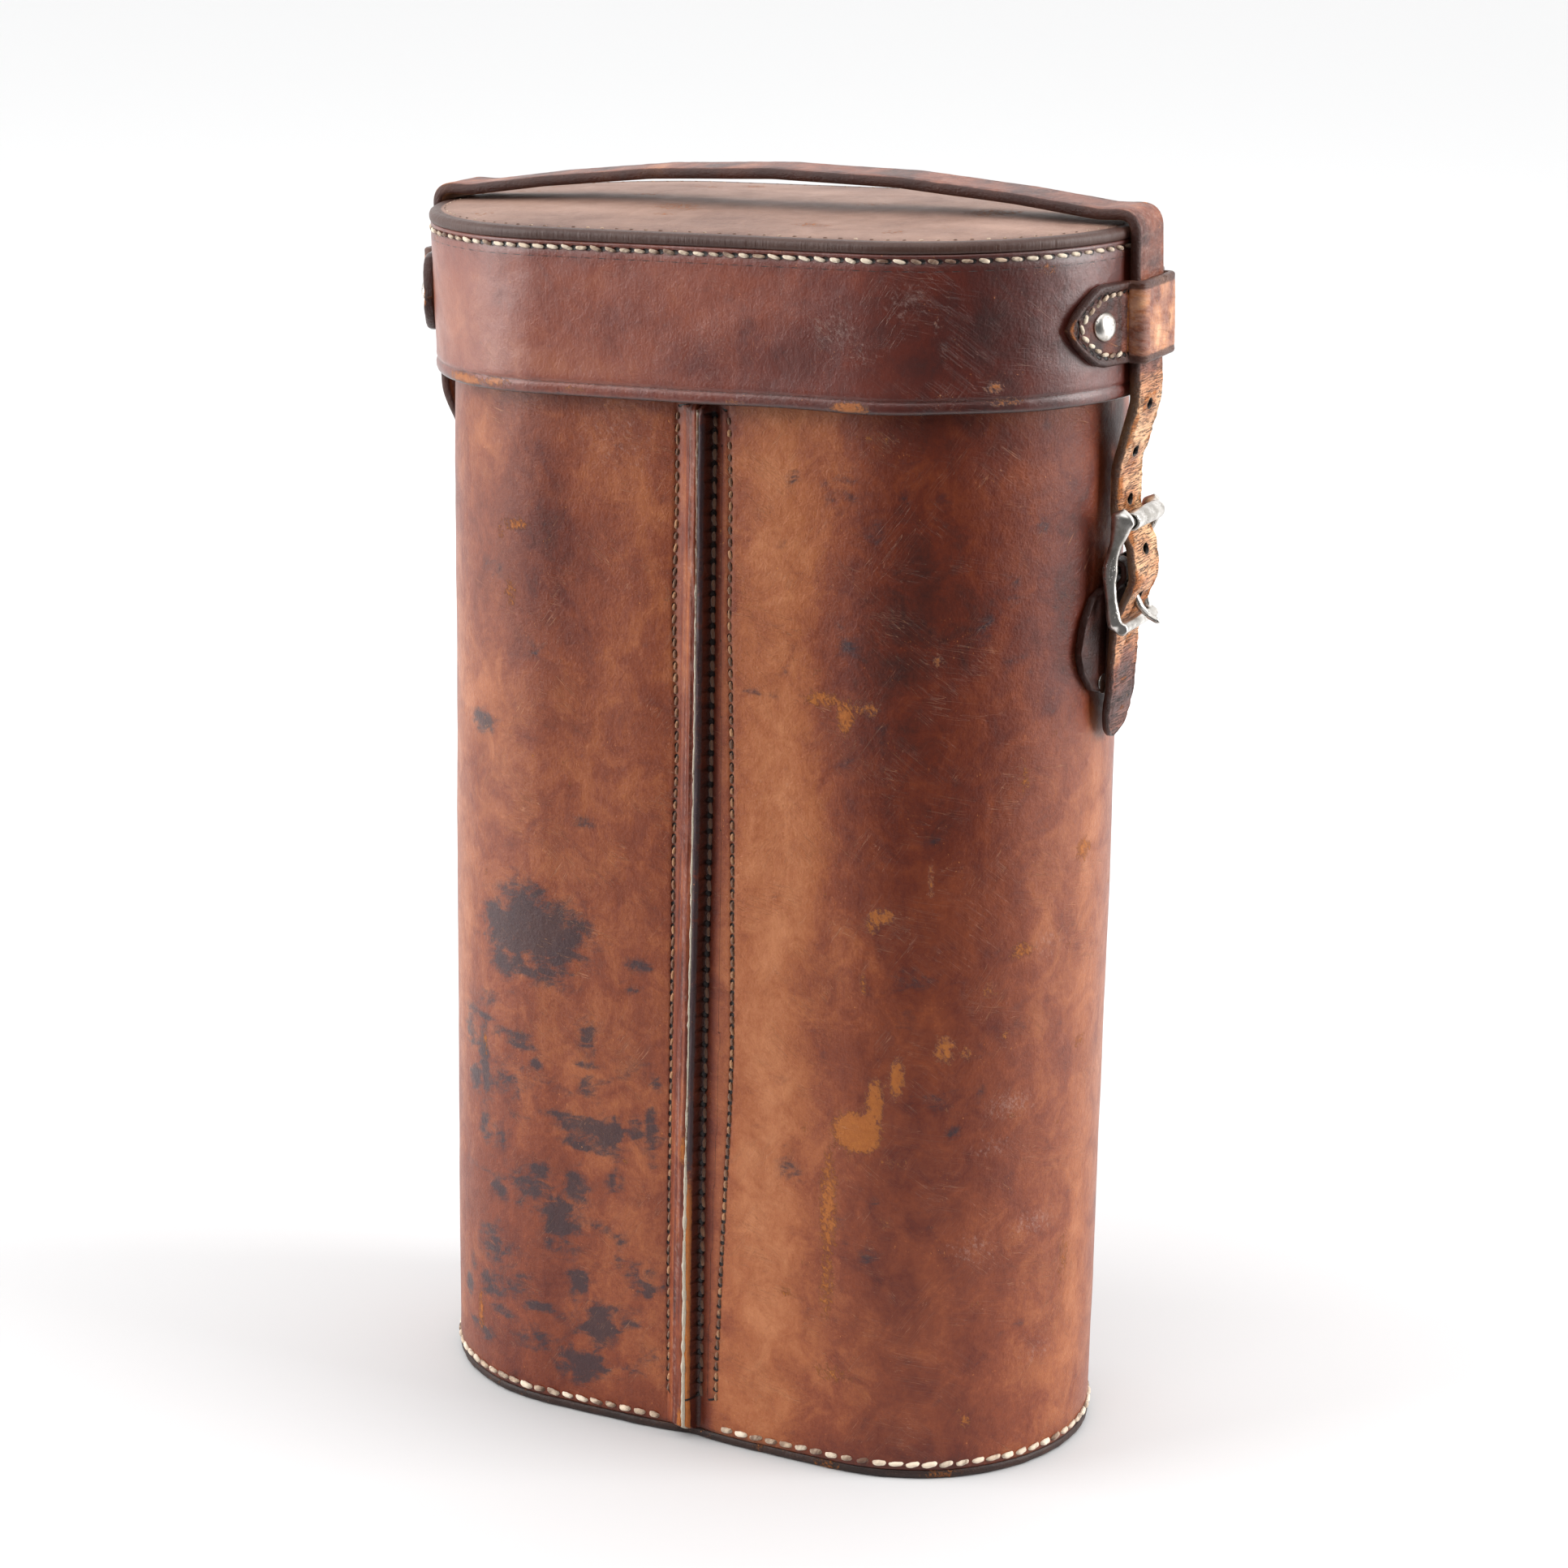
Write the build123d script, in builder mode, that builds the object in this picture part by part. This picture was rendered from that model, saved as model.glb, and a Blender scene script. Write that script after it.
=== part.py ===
"""Leather two-well rod case: stitched two-lobed body, lift-off lid, carry strap and one roller buckle."""

from build123d import *
from math import asin, cos, radians, sin
import os

# Frame: origin at the middle of the base, +Z up, +X along the long side to the buckle, -Y the front seam.
# Lengths are in millimetres.

# Body: two wells side by side, rounded at their outer ends, drawn in a little at the seams.
END_RADIUS = 53.3
FLAT = 45.7
WALL = 3.2
BODY_TOP = 340.0
SOLE = 2.8
PINCH = 1.8
PINCH_SPAN = 20.0
BODY_END = FLAT + END_RADIUS
SEAM_Y = END_RADIUS - PINCH

# Seam fins: the panel edges turned outwards with a linen welt between them.
FIN = 5.5
FIN_LEATHER = 3.0
WELT = 1.0
FIN_TOP = 303.0
FIN_LOW = 2.2
FIN_ROW = 2.2
DIVIDER = 2.0
DIVIDER_FLANGE = 12.0
DIVIDER_TOP = 325.0
DIVIDER_GAP = 0.3

# Lid: worn lids sit a little cocked, so the lid is drawn in its own tilted plane.
LID_RADIUS = 59.0
LID_END = FLAT + LID_RADIUS
LID_WALL = 3.3
LID_SEAT = 325.3
LID_TILT = 2.0
LID_RIM = -20.0
LID_BAND_TOP = 22.0
LID_CROWN = 25.2

# Thread
THREAD = 0.6
THREAD_GAP = 0.03
SEAM_ROW = 8.0
BASE_ROW_Z = 4.6
LID_ROW_W = 20.3
ROW_HEIGHT = 1.4

# Carry strap, three-quarter inch wide: sewn and riveted to the left end, buckled on the right
STRAP_WIDTH = 19.0
STRAP = 3.2
STRAP_GAP = 0.35
STRAP_OUT = LID_END + STRAP_GAP + STRAP / 2
HOLE_PITCH = 13.3
TOP_HOLE_Z = 306.3
HOLE_COUNT = 4
HOLE_LENGTH = 4.4
HOLE_WIDTH = 2.2
TAIL_Z = 212.6
POINT_LENGTH = 13.0
POINT_CHEEK = 0.62
POINT_CHEEK_Z = 4.0
ANCHOR_GAP = 0.05
ANCHOR_X = BODY_END + ANCHOR_GAP + STRAP / 2
ANCHOR_FOOT = 221.5
ANCHOR_RIVET_Y = 5.5
ANCHOR_RIVET_Z = (250.0, 229.0)
ANCHOR_SLACK = 0.9
ANCHOR_GRIP = STRAP + WALL + ANCHOR_SLACK
ANCHOR_BOW = 4.6

# Keepers on the ends of the lid
KEEPER = 2.3
KEEPER_HEIGHT = 22.0
KEEPER_REACH = 33.0
KEEPER_SLACK = 0.4
KEEPER_W = 0.6
KEEPER_RIVET_Y = 22.0
# Half of a keeper's outline as shares of its reach and height, from the loop out to the point of the tab.
KEEPER_TAB = ((0.62, 0.5), (0.84, 0.33), (1.0, 0.0), (0.84, -0.33), (0.62, -0.5))
RIVET_HEAD = 4.0
RIVET_DOME = 1.9
RIVET_SHANK = 1.3
RIVET_FOOT = 0.75
RIVET_FOOT_DOME = 0.5
RIVET_SLACK = 0.25

# Roller buckle: three cross bars between two side bars
BUCKLE_GAP = 20.4
SIDE_BAR = 3.0
SIDE_BAR_SWELLS = (2.6, 2.3, 2.0)
CENTRE_BAR = (103.2, 260.5)
TOP_BAR = (108.3, 275.5)
BOTTOM_BAR = (107.6, 246.0)
TOP_BAR_RADIUS = 1.5
CENTRE_BAR_RADIUS = 1.4
BOTTOM_BAR_RADIUS = 1.6
RUNNING = 0.05
ROLLER_RADIUS = 2.6
ROLLER_LENGTH = 19.6
TONGUE = 2.4
TONGUE_EYE = 2.8
TONGUE_SLACK = 0.6
TONGUE_PATH = (CENTRE_BAR, (105.6, 255.0), (108.4, 249.9), (114.8, 245.9))

# Chape: the leather shield and loop that hold the buckle
CHAPE = 1.8
CHAPE_WIDTH = 15.0
CHAPE_PLATE = 2.2
CHAPE_TOP = 252.0
CHAPE_FOOT = 222.0
CHAPE_REACH = 18.0
CHAPE_SHOULDER = 0.6
CHAPE_CHEEK = 0.7
CHAPE_CHEEK_Z = 4.0
CHAPE_LIP = 6.0
CHAPE_GAP = 0.1
FOLD_ANGLE = radians(46.0)
CHAPE_RIVET_Y = 6.5
CHAPE_RIVET_Z = 229.0
CHAPE_RIVET_HEAD = 3.0
CHAPE_RIVET_DOME = 0.6

TILT = radians(LID_TILT)
LID_X = (cos(TILT), 0, sin(TILT))
LID_Z = (-sin(TILT), 0, cos(TILT))
LID = Plane(origin=(0, 0, LID_SEAT), x_dir=LID_X, z_dir=LID_Z)
LID_ELEVATION = Plane(origin=(0, 0, LID_SEAT), x_dir=(0, 1, 0), z_dir=LID_X)
SIDES = {"left": -1, "right": 1}

os.makedirs("parts", exist_ok=True)


def save(name, solid):
    """Labels one finished sub-part and writes its STEP file."""
    solid.label = name
    export_step(solid, f"parts/{name}.step")


def lobe(grow, start):
    """One well's D-shaped outline to +X of the seam plane, grown outwards by grow, from x = start."""
    radius = END_RADIUS + grow
    seam = SEAM_Y + grow
    with BuildSketch(mode=Mode.PRIVATE) as outline:
        with BuildLine():
            TangentArc((PINCH_SPAN, -radius), (start, -seam), tangent=(-1, 0))
            Line((PINCH_SPAN, -radius), (FLAT, -radius))
            ThreePointArc((FLAT, -radius), (FLAT + radius, 0), (FLAT, radius))
            Line((FLAT, radius), (PINCH_SPAN, radius))
            TangentArc((PINCH_SPAN, radius), (start, seam), tangent=(-1, 0))
            Line((start, seam), (start, -seam))
        make_face()
    return outline.sketch


def case_outline(grow):
    """The whole two-well outline, grown outwards by grow."""
    half = lobe(grow, 0)
    with BuildSketch(mode=Mode.PRIVATE) as outline:
        add(half)
        mirror(half, about=Plane.YZ)
    return outline.sketch


def lid_point(u, w):
    """The (x, z) of a point u along the lid and w above its seat."""
    return (u * cos(TILT) - w * sin(TILT), LID_SEAT + u * sin(TILT) + w * cos(TILT))


def radial(frame, side, across, radius, height):
    """A plane on a rounded end, facing out, at y = across and the given height in frame."""
    angle = asin(across / radius)
    local = Plane(
        origin=(side * (FLAT + radius * cos(angle)), across, height),
        x_dir=(0, side, 0),
        z_dir=(side * cos(angle), sin(angle), 0),
    )
    return Plane(frame.location * local.location)


def chape_rivet_place(across):
    """Where one chape rivet's head rests, on the outer face of the chape."""
    return radial(Plane.XY, 1, across, END_RADIUS + CHAPE_PLATE, CHAPE_RIVET_Z)


def anchor_rivet_place(across, height):
    """Where one anchor rivet's head rests, on the outer face of the strap's sewn-down left end."""
    return Plane(origin=(-ANCHOR_X - STRAP / 2, across, height), x_dir=(0, -1, 0), z_dir=(-1, 0, 0))


CHAPE_RIVET_PLACES = [chape_rivet_place(across) for across in (-CHAPE_RIVET_Y, CHAPE_RIVET_Y)]
ANCHOR_RIVET_PLACES = [
    anchor_rivet_place(across, height)
    for across in (-ANCHOR_RIVET_Y, ANCHOR_RIVET_Y)
    for height in ANCHOR_RIVET_Z
]


def keeper_rivet_place(side, across):
    """Where one keeper rivet's head rests, on the outer face of the keeper's tab."""
    return radial(LID, side, across, LID_RADIUS + KEEPER, KEEPER_W)


def rivet(place, head, dome, grip):
    """A domed rivet whose head rests on place and whose shank grips the leather behind it."""
    plane = place.offset(THREAD_GAP)
    with BuildPart() as one:
        with BuildSketch(plane):
            Circle(RIVET_SHANK)
        extrude(amount=-grip)
        with BuildSketch(plane):
            Circle(head)
        extrude(amount=dome)
        fillet(one.edges().sort_by(Axis(plane.origin, plane.z_dir))[-1], dome * 0.9)
        with BuildSketch(plane.offset(-grip)):
            Circle(head * RIVET_FOOT)
        extrude(amount=-dome * RIVET_FOOT_DOME)
    return one.part


# ---------------------------------------------------------------- body


def body_panel(side):
    """One half of the body wall, with its seam edges turned out into the front and back fins."""
    edge = WELT / 2
    with BuildPart() as panel:
        with BuildSketch(Plane.XY.offset(SOLE)):
            add(lobe(0, edge))
            add(lobe(-WALL, -1), mode=Mode.SUBTRACT)
            for face in (-1, 1):
                with Locations((edge, face * SEAM_Y)):
                    Rectangle(FIN_LEATHER, 2 * FIN_LOW, align=(Align.MIN, Align.CENTER))
        extrude(amount=BODY_TOP - SOLE)
        with BuildSketch(Plane.XY.offset(SOLE)):
            for face in (-1, 1):
                with Locations((edge, face * (SEAM_Y + FIN / 2))):
                    Rectangle(FIN_LEATHER, FIN, align=(Align.MIN, Align.CENTER))
        extrude(amount=FIN_TOP - SOLE)
        if side < 0:
            mirror(about=Plane.YZ, mode=Mode.REPLACE)
        for place in CHAPE_RIVET_PLACES if side > 0 else ANCHOR_RIVET_PLACES:
            with Locations(place):
                Hole(RIVET_SHANK, depth=2 * (WALL + CHAPE_PLATE))
    return panel.part


def seam_welt(face):
    """The linen welt between the two turned-out edges of one seam."""
    with BuildPart() as welt:
        with BuildSketch(Plane.XY.offset(SOLE)):
            with Locations((0, face * SEAM_Y)):
                Rectangle(WELT, 2 * FIN_LOW)
        extrude(amount=BODY_TOP - SOLE)
        with BuildSketch(Plane.XY.offset(SOLE)):
            with Locations((0, face * (SEAM_Y + FIN / 2))):
                Rectangle(WELT, FIN)
        extrude(amount=FIN_TOP - SOLE)
    return welt.part


def seam_thread(face):
    """Thread of one seam: a row each side of the fin and the row that goes through it."""
    fin_half = WELT / 2 + FIN_LEATHER
    row_y = face * (END_RADIUS - PINCH * (1 - SEAM_ROW / PINCH_SPAN) ** 2 + THREAD)
    fin_y = face * (SEAM_Y + FIN_ROW)
    with BuildPart() as thread:
        with BuildSketch(Plane.XY.offset(SOLE)):
            with Locations((-SEAM_ROW, row_y), (SEAM_ROW, row_y)):
                Circle(THREAD / 2)
            with Locations((-fin_half - THREAD, fin_y), (fin_half + THREAD, fin_y)):
                Circle(THREAD / 2)
        extrude(amount=FIN_TOP - SOLE)
    return thread.part


for name, side in SIDES.items():
    save(f"body_panel_{name}", body_panel(side))
for name, face in {"front": -1, "back": 1}.items():
    save(f"{name}_seam_welt", seam_welt(face))
    save(f"{name}_seam_thread", seam_thread(face))

# The partition between the wells: a web with a flange along each seam.
divider_reach = SEAM_Y - WALL - DIVIDER_GAP
with BuildPart() as divider:
    with BuildSketch(Plane.XY.offset(SOLE)):
        Rectangle(DIVIDER, 2 * divider_reach)
        for face in (-1, 1):
            with Locations((0, face * (divider_reach - DIVIDER / 2))):
                Rectangle(2 * DIVIDER_FLANGE, DIVIDER)
    extrude(amount=DIVIDER_TOP - SOLE)
save("divider", divider.part)

# The sole: a disc of thick leather that covers the whole foot of the wall.
with BuildPart() as sole:
    with BuildSketch():
        add(case_outline(0))
    extrude(amount=SOLE)
save("base_sole", sole.part)

# The saddle-stitched row round the foot, which stops at each fin.
with BuildPart() as base_thread:
    with BuildSketch(Plane.XY.offset(BASE_ROW_Z - ROW_HEIGHT / 2)):
        add(case_outline(THREAD))
        add(case_outline(THREAD_GAP), mode=Mode.SUBTRACT)
        Rectangle(2 * SEAM_ROW + 2, 3 * END_RADIUS, mode=Mode.SUBTRACT)
    extrude(amount=ROW_HEIGHT)
save("base_thread", base_thread.part)

# ---------------------------------------------------------------- chape and buckle


def chape():
    """A shield of leather on the rounded end, with a split loop round the buckle's centre bar."""
    bar_x, bar_z = CENTRE_BAR
    inner = END_RADIUS + THREAD_GAP
    loop = CENTRE_BAR_RADIUS + RUNNING + CHAPE
    back = BODY_END + CHAPE_GAP
    middle = (CHAPE_TOP + CHAPE_FOOT) / 2
    cheek = (CHAPE_REACH * CHAPE_CHEEK, CHAPE_FOOT + CHAPE_CHEEK_Z)
    shoulder = (CHAPE_REACH * CHAPE_SHOULDER, CHAPE_TOP)
    right_edge = [cheek, (CHAPE_REACH, middle), shoulder]
    shield = [(0, CHAPE_FOOT)] + right_edge + [(-across, height) for across, height in reversed(right_edge)]
    with BuildPart() as piece:
        with BuildSketch(Plane.XY.offset(CHAPE_FOOT)):
            with Locations((FLAT, 0)):
                Circle(END_RADIUS + CHAPE_PLATE)
                Circle(inner, mode=Mode.SUBTRACT)
        extrude(amount=CHAPE_TOP - CHAPE_FOOT)
        with BuildSketch(Plane.YZ.offset(FLAT)):
            with BuildLine():
                Polyline(*shield, close=True)
            make_face()
        extrude(amount=2 * END_RADIUS, mode=Mode.INTERSECT)
        with BuildSketch(Plane.XZ):
            with Locations(CENTRE_BAR):
                Circle(loop)
            with BuildLine():
                Polyline(
                    (bar_x - loop, bar_z),
                    (back, bar_z - loop),
                    (back, CHAPE_TOP - CHAPE_LIP),
                    (BODY_END + CHAPE_PLATE, CHAPE_TOP - CHAPE_LIP),
                    (BODY_END + CHAPE_PLATE, CHAPE_TOP),
                    (bar_x + loop * cos(FOLD_ANGLE), bar_z - loop * sin(FOLD_ANGLE)),
                    close=True,
                )
            make_face()
        extrude(amount=CHAPE_WIDTH / 2, both=True)
        with BuildSketch(Plane.XZ):
            with Locations(CENTRE_BAR):
                Circle(CENTRE_BAR_RADIUS + RUNNING)
        extrude(amount=CHAPE_WIDTH, both=True, mode=Mode.SUBTRACT)
        with BuildSketch(Plane.XZ):
            with Locations(CENTRE_BAR):
                Circle(TONGUE_EYE + 0.3)
            with Locations((bar_x - loop / 2, bar_z)):
                Rectangle(3 * loop, 6 * loop, align=(Align.MIN, Align.CENTER))
        extrude(amount=TONGUE / 2 + 0.5, both=True, mode=Mode.SUBTRACT)
        for place in CHAPE_RIVET_PLACES:
            with Locations(place):
                Hole(RIVET_SHANK, depth=2 * CHAPE_PLATE)
    return piece.part


def buckle_frame():
    """Two shaped side bars joined by the top, centre and bottom bars."""
    bars = ((TOP_BAR, TOP_BAR_RADIUS), (CENTRE_BAR, CENTRE_BAR_RADIUS), (BOTTOM_BAR, BOTTOM_BAR_RADIUS))
    with BuildPart() as frame:
        for face in (-1, 1):
            with BuildSketch(Plane.XZ.offset(-face * BUCKLE_GAP / 2)):
                with BuildLine():
                    Polyline(TOP_BAR, CENTRE_BAR, BOTTOM_BAR)
                trace(line_width=SIDE_BAR)
                for place, radius in zip((TOP_BAR, CENTRE_BAR, BOTTOM_BAR), SIDE_BAR_SWELLS):
                    with Locations(place):
                        Circle(radius)
            extrude(amount=-face * SIDE_BAR)
        for place, radius in bars:
            with BuildSketch(Plane.XZ):
                with Locations(place):
                    Circle(radius)
            extrude(amount=BUCKLE_GAP / 2 + SIDE_BAR / 2, both=True)
    return frame.part


def buckle_roller():
    """The loose tube that turns on the top bar."""
    with BuildPart() as roller:
        with BuildSketch(Plane.XZ):
            with Locations(TOP_BAR):
                Circle(ROLLER_RADIUS)
                Circle(TOP_BAR_RADIUS + RUNNING, mode=Mode.SUBTRACT)
        extrude(amount=ROLLER_LENGTH / 2, both=True)
    return roller.part


def buckle_tongue():
    """The pin that hinges on the centre bar, goes through a strap hole and lies over the bottom bar."""
    with BuildPart() as tongue:
        with BuildSketch(Plane.XZ):
            with BuildLine():
                FilletPolyline(*TONGUE_PATH, radius=3)
            trace(line_width=TONGUE)
            with Locations(CENTRE_BAR):
                Circle(TONGUE_EYE)
            with Locations(TONGUE_PATH[-1]):
                Circle(TONGUE / 2)
            with Locations(CENTRE_BAR):
                Circle(CENTRE_BAR_RADIUS + RUNNING, mode=Mode.SUBTRACT)
        extrude(amount=TONGUE / 2, both=True)
    return tongue.part


save("chape", chape())
save("buckle_frame", buckle_frame())
save("buckle_roller", buckle_roller())
save("buckle_tongue", buckle_tongue())

rivet_groups = {
    "chape_rivets": (CHAPE_RIVET_PLACES, CHAPE_PLATE + WALL + RIVET_SLACK),
    "anchor_rivets": (ANCHOR_RIVET_PLACES, ANCHOR_GRIP),
}
for name, (places, grip) in rivet_groups.items():
    rivets = [rivet(place, CHAPE_RIVET_HEAD, CHAPE_RIVET_DOME, grip) for place in places]
    save(name, Compound(label=name, children=rivets))

# ---------------------------------------------------------------- lid

with BuildPart() as lid_band:
    with BuildSketch(LID.offset(LID_RIM)):
        SlotCenterToCenter(2 * FLAT, 2 * LID_RADIUS)
        SlotCenterToCenter(2 * FLAT, 2 * (LID_RADIUS - LID_WALL), mode=Mode.SUBTRACT)
    extrude(amount=LID_BAND_TOP - LID_RIM)
    for side in SIDES.values():
        for across in (-KEEPER_RIVET_Y, KEEPER_RIVET_Y):
            with Locations(keeper_rivet_place(side, across)):
                Hole(RIVET_SHANK, depth=2 * (KEEPER + LID_WALL))
save("lid_band", lid_band.part)

with BuildPart() as lid_top:
    with BuildSketch(LID.offset(LID_BAND_TOP)):
        SlotCenterToCenter(2 * FLAT, 2 * LID_RADIUS)
    extrude(amount=LID_CROWN - LID_BAND_TOP)
    fillet(lid_top.faces().sort_by(Axis(LID.origin, LID.z_dir))[-1].edges(), 2.2)
save("lid_top", lid_top.part)

with BuildPart() as lid_thread:
    with BuildSketch(LID.offset(LID_ROW_W - ROW_HEIGHT / 2)):
        SlotCenterToCenter(2 * FLAT, 2 * (LID_RADIUS + 0.3))
        SlotCenterToCenter(2 * FLAT, 2 * (LID_RADIUS + THREAD_GAP), mode=Mode.SUBTRACT)
    extrude(amount=ROW_HEIGHT)
save("lid_thread", lid_thread.part)


def keeper(side):
    """A loop over the strap whose two pointed tabs are riveted and sewn to the rounded end of the lid."""
    half = STRAP_WIDTH / 2 + KEEPER_SLACK
    depth = LID_END + STRAP_GAP + STRAP + KEEPER_SLACK
    inner = LID_RADIUS + THREAD_GAP
    tab = [(KEEPER_REACH * reach, KEEPER_HEIGHT * rise) for reach, rise in KEEPER_TAB]
    outline = tab + [(-reach, -rise) for reach, rise in tab]
    with BuildPart() as loop:
        with BuildSketch(LID.offset(KEEPER_W - KEEPER_HEIGHT / 2)):
            with Locations((side * FLAT, 0)):
                Circle(LID_RADIUS + KEEPER)
            Rectangle(2 * (depth + KEEPER), 2 * (half + KEEPER))
            Rectangle(2 * depth, 2 * half, mode=Mode.SUBTRACT)
            with Locations((side * FLAT, 0)):
                Circle(inner, mode=Mode.SUBTRACT)
            with Locations((-side * FLAT, 0)):
                Rectangle(4 * FLAT, 4 * LID_RADIUS, mode=Mode.SUBTRACT)
        extrude(amount=KEEPER_HEIGHT)
        with BuildSketch(LID_ELEVATION):
            with Locations((0, KEEPER_W)):
                Polygon(*outline, align=None)
        extrude(amount=2 * LID_END, both=True, mode=Mode.INTERSECT)
        for across in (-KEEPER_RIVET_Y, KEEPER_RIVET_Y):
            with Locations(keeper_rivet_place(side, across)):
                Hole(RIVET_SHANK, depth=2 * KEEPER)
    return loop.part


for name, side in SIDES.items():
    save(f"keeper_{name}", keeper(side))

keeper_rivets = Compound(
    label="keeper_rivets",
    children=[
        rivet(keeper_rivet_place(side, across), RIVET_HEAD, RIVET_DOME, KEEPER + LID_WALL + RIVET_SLACK)
        for side in SIDES.values()
        for across in (-KEEPER_RIVET_Y, KEEPER_RIVET_Y)
    ],
)
save("keeper_rivets", keeper_rivets)

# ---------------------------------------------------------------- carry strap


def over_lid(side):
    """The strap's middle line from near the lid's edge, round it and down to the lid's rim, on one side."""
    return [lid_point(side * u, w) for u, w in ((96.0, 28.4), (STRAP_OUT, 28.7), (STRAP_OUT, -21.5))]


strap_arch = [lid_point(u, w) for u, w in ((-72, 31.6), (-38, 34.8), (0, 36.0), (38, 34.8), (72, 31.6))]
sewn_end = [(-ANCHOR_X - ANCHOR_BOW, 292.0), (-ANCHOR_X, 279.0), (-ANCHOR_X, ANCHOR_FOOT)]
buckled_end = [
    (102.7, 289.0),
    (102.7, 276.0),
    (109.7, 261.6),
    (108.9, 257.0),
    (103.9, 246.5),
    (103.6, TAIL_Z),
]
strap_line = list(reversed(over_lid(-1) + sewn_end)) + strap_arch + over_lid(1) + buckled_end
sewn_radii = [14.0, 16.0, 10.0, 5.0, 24.0]
buckled_radii = [24.0, 5.0, 10.0, 14.0, 8.0, 3.0, 3.5, 8.0]
strap_radii = sewn_radii + [60.0] * len(strap_arch) + buckled_radii
half_width = STRAP_WIDTH / 2

with BuildPart() as carry_strap:
    with BuildSketch(Plane.XZ):
        with BuildLine():
            FilletPolyline(*strap_line, radius=strap_radii)
            offset(amount=STRAP / 2, side=Side.BOTH, mode=Mode.REPLACE)
        make_face()
    extrude(amount=half_width, both=True)
    with BuildSketch(Plane.YZ):
        for step in range(HOLE_COUNT):
            with Locations((0, TOP_HOLE_Z - step * HOLE_PITCH)):
                SlotOverall(HOLE_LENGTH, HOLE_WIDTH, rotation=90)
    extrude(amount=2 * LID_END, mode=Mode.SUBTRACT)
    with BuildSketch(Plane.YZ):
        with Locations((0, TAIL_Z)):
            Rectangle(2 * STRAP_WIDTH, 2 * POINT_LENGTH)
        with BuildLine():
            tip = TAIL_Z - STRAP / 2
            shoulder = TAIL_Z + POINT_LENGTH
            cheek_y = half_width * POINT_CHEEK
            cheek_z = TAIL_Z + POINT_CHEEK_Z
            ThreePointArc((-half_width, shoulder), (-cheek_y, cheek_z), (0, tip))
            ThreePointArc((0, tip), (cheek_y, cheek_z), (half_width, shoulder))
            Line((half_width, shoulder), (-half_width, shoulder))
        make_face(mode=Mode.SUBTRACT)
    extrude(amount=2 * LID_END, mode=Mode.SUBTRACT)
    with BuildSketch(Plane.XZ):
        with BuildLine():
            Polyline(*TONGUE_PATH)
        trace(line_width=TONGUE + 2 * TONGUE_SLACK)
    extrude(amount=TONGUE / 2 + TONGUE_SLACK, both=True, mode=Mode.SUBTRACT)
    for place in ANCHOR_RIVET_PLACES:
        with Locations(place):
            Hole(RIVET_SHANK + ANCHOR_GAP, depth=2 * STRAP)
save("carry_strap", carry_strap.part)
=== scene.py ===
"""Leather two-well rod case with a lift-off lid: the visual model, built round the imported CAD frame."""

from math import atan2, cos, pi, radians, sin

import bmesh
import bpy
import numpy as np
from mathutils import Matrix, Vector


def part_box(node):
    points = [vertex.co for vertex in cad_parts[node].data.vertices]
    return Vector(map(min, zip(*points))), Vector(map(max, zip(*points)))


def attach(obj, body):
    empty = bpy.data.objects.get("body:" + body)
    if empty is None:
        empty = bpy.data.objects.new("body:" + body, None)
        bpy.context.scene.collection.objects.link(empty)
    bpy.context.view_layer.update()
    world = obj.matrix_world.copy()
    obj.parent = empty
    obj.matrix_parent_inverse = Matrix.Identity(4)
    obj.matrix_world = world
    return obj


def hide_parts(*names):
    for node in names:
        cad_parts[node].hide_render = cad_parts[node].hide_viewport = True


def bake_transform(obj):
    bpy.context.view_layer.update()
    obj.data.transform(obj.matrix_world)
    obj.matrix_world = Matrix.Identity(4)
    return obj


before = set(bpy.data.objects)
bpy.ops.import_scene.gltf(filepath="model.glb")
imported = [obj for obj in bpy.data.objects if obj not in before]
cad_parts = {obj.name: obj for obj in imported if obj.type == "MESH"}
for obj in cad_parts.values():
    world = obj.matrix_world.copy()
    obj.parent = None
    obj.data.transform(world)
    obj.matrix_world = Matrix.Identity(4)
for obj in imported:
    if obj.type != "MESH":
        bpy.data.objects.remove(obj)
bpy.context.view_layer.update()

# Lengths are in millimetres up to the moment a mesh is made.
MM = 0.001


def box_mm(node):
    """Lowest and highest corners of a CAD node, in millimetres."""
    low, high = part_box(node)
    return np.array(low) / MM, np.array(high) / MM


# ------------------------------------------------------------------ main sizes, most of them from the frame

SOLE_HIGH = box_mm("base_sole")[1]
KEEPER_L = sum(box_mm("keeper_left")) / 2
KEEPER_R = sum(box_mm("keeper_right")) / 2

END_RADIUS = round(SOLE_HIGH[1], 1)
BODY_END = round(SOLE_HIGH[0] + 0.2, 1)
FLAT = BODY_END - END_RADIUS
SOLE = SOLE_HIGH[2]
BODY_TOP = box_mm("body_panel_right")[1][2]
WALL = 3.2
# The waist is drawn in by PINCH at the seam, fading out over PINCH_SPAN to each side.
PINCH = 1.8
PINCH_SPAN = 20.0

# The lid sits a little askew.  Heights on the lid count from its seat, along its own tilted axis.
TILT = atan2(KEEPER_R[2] - KEEPER_L[2], KEEPER_R[0] - KEEPER_L[0])
LID_RADIUS = round(box_mm("lid_band")[1][1], 1)
LID_END = FLAT + LID_RADIUS
LID_WALL = 3.3
LID_SEAT = (KEEPER_L[2] + KEEPER_R[2]) / 2 - 0.6
BAND_RIM = -20.0
BAND_TOP = 22.0
LID_CROWN = 25.2

SIDES = {"left": -1, "right": 1}
# A row attribute this large means that no stitched row is near.
NO_ROW = 9.0


# ------------------------------------------------------------------ numeric helpers


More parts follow.
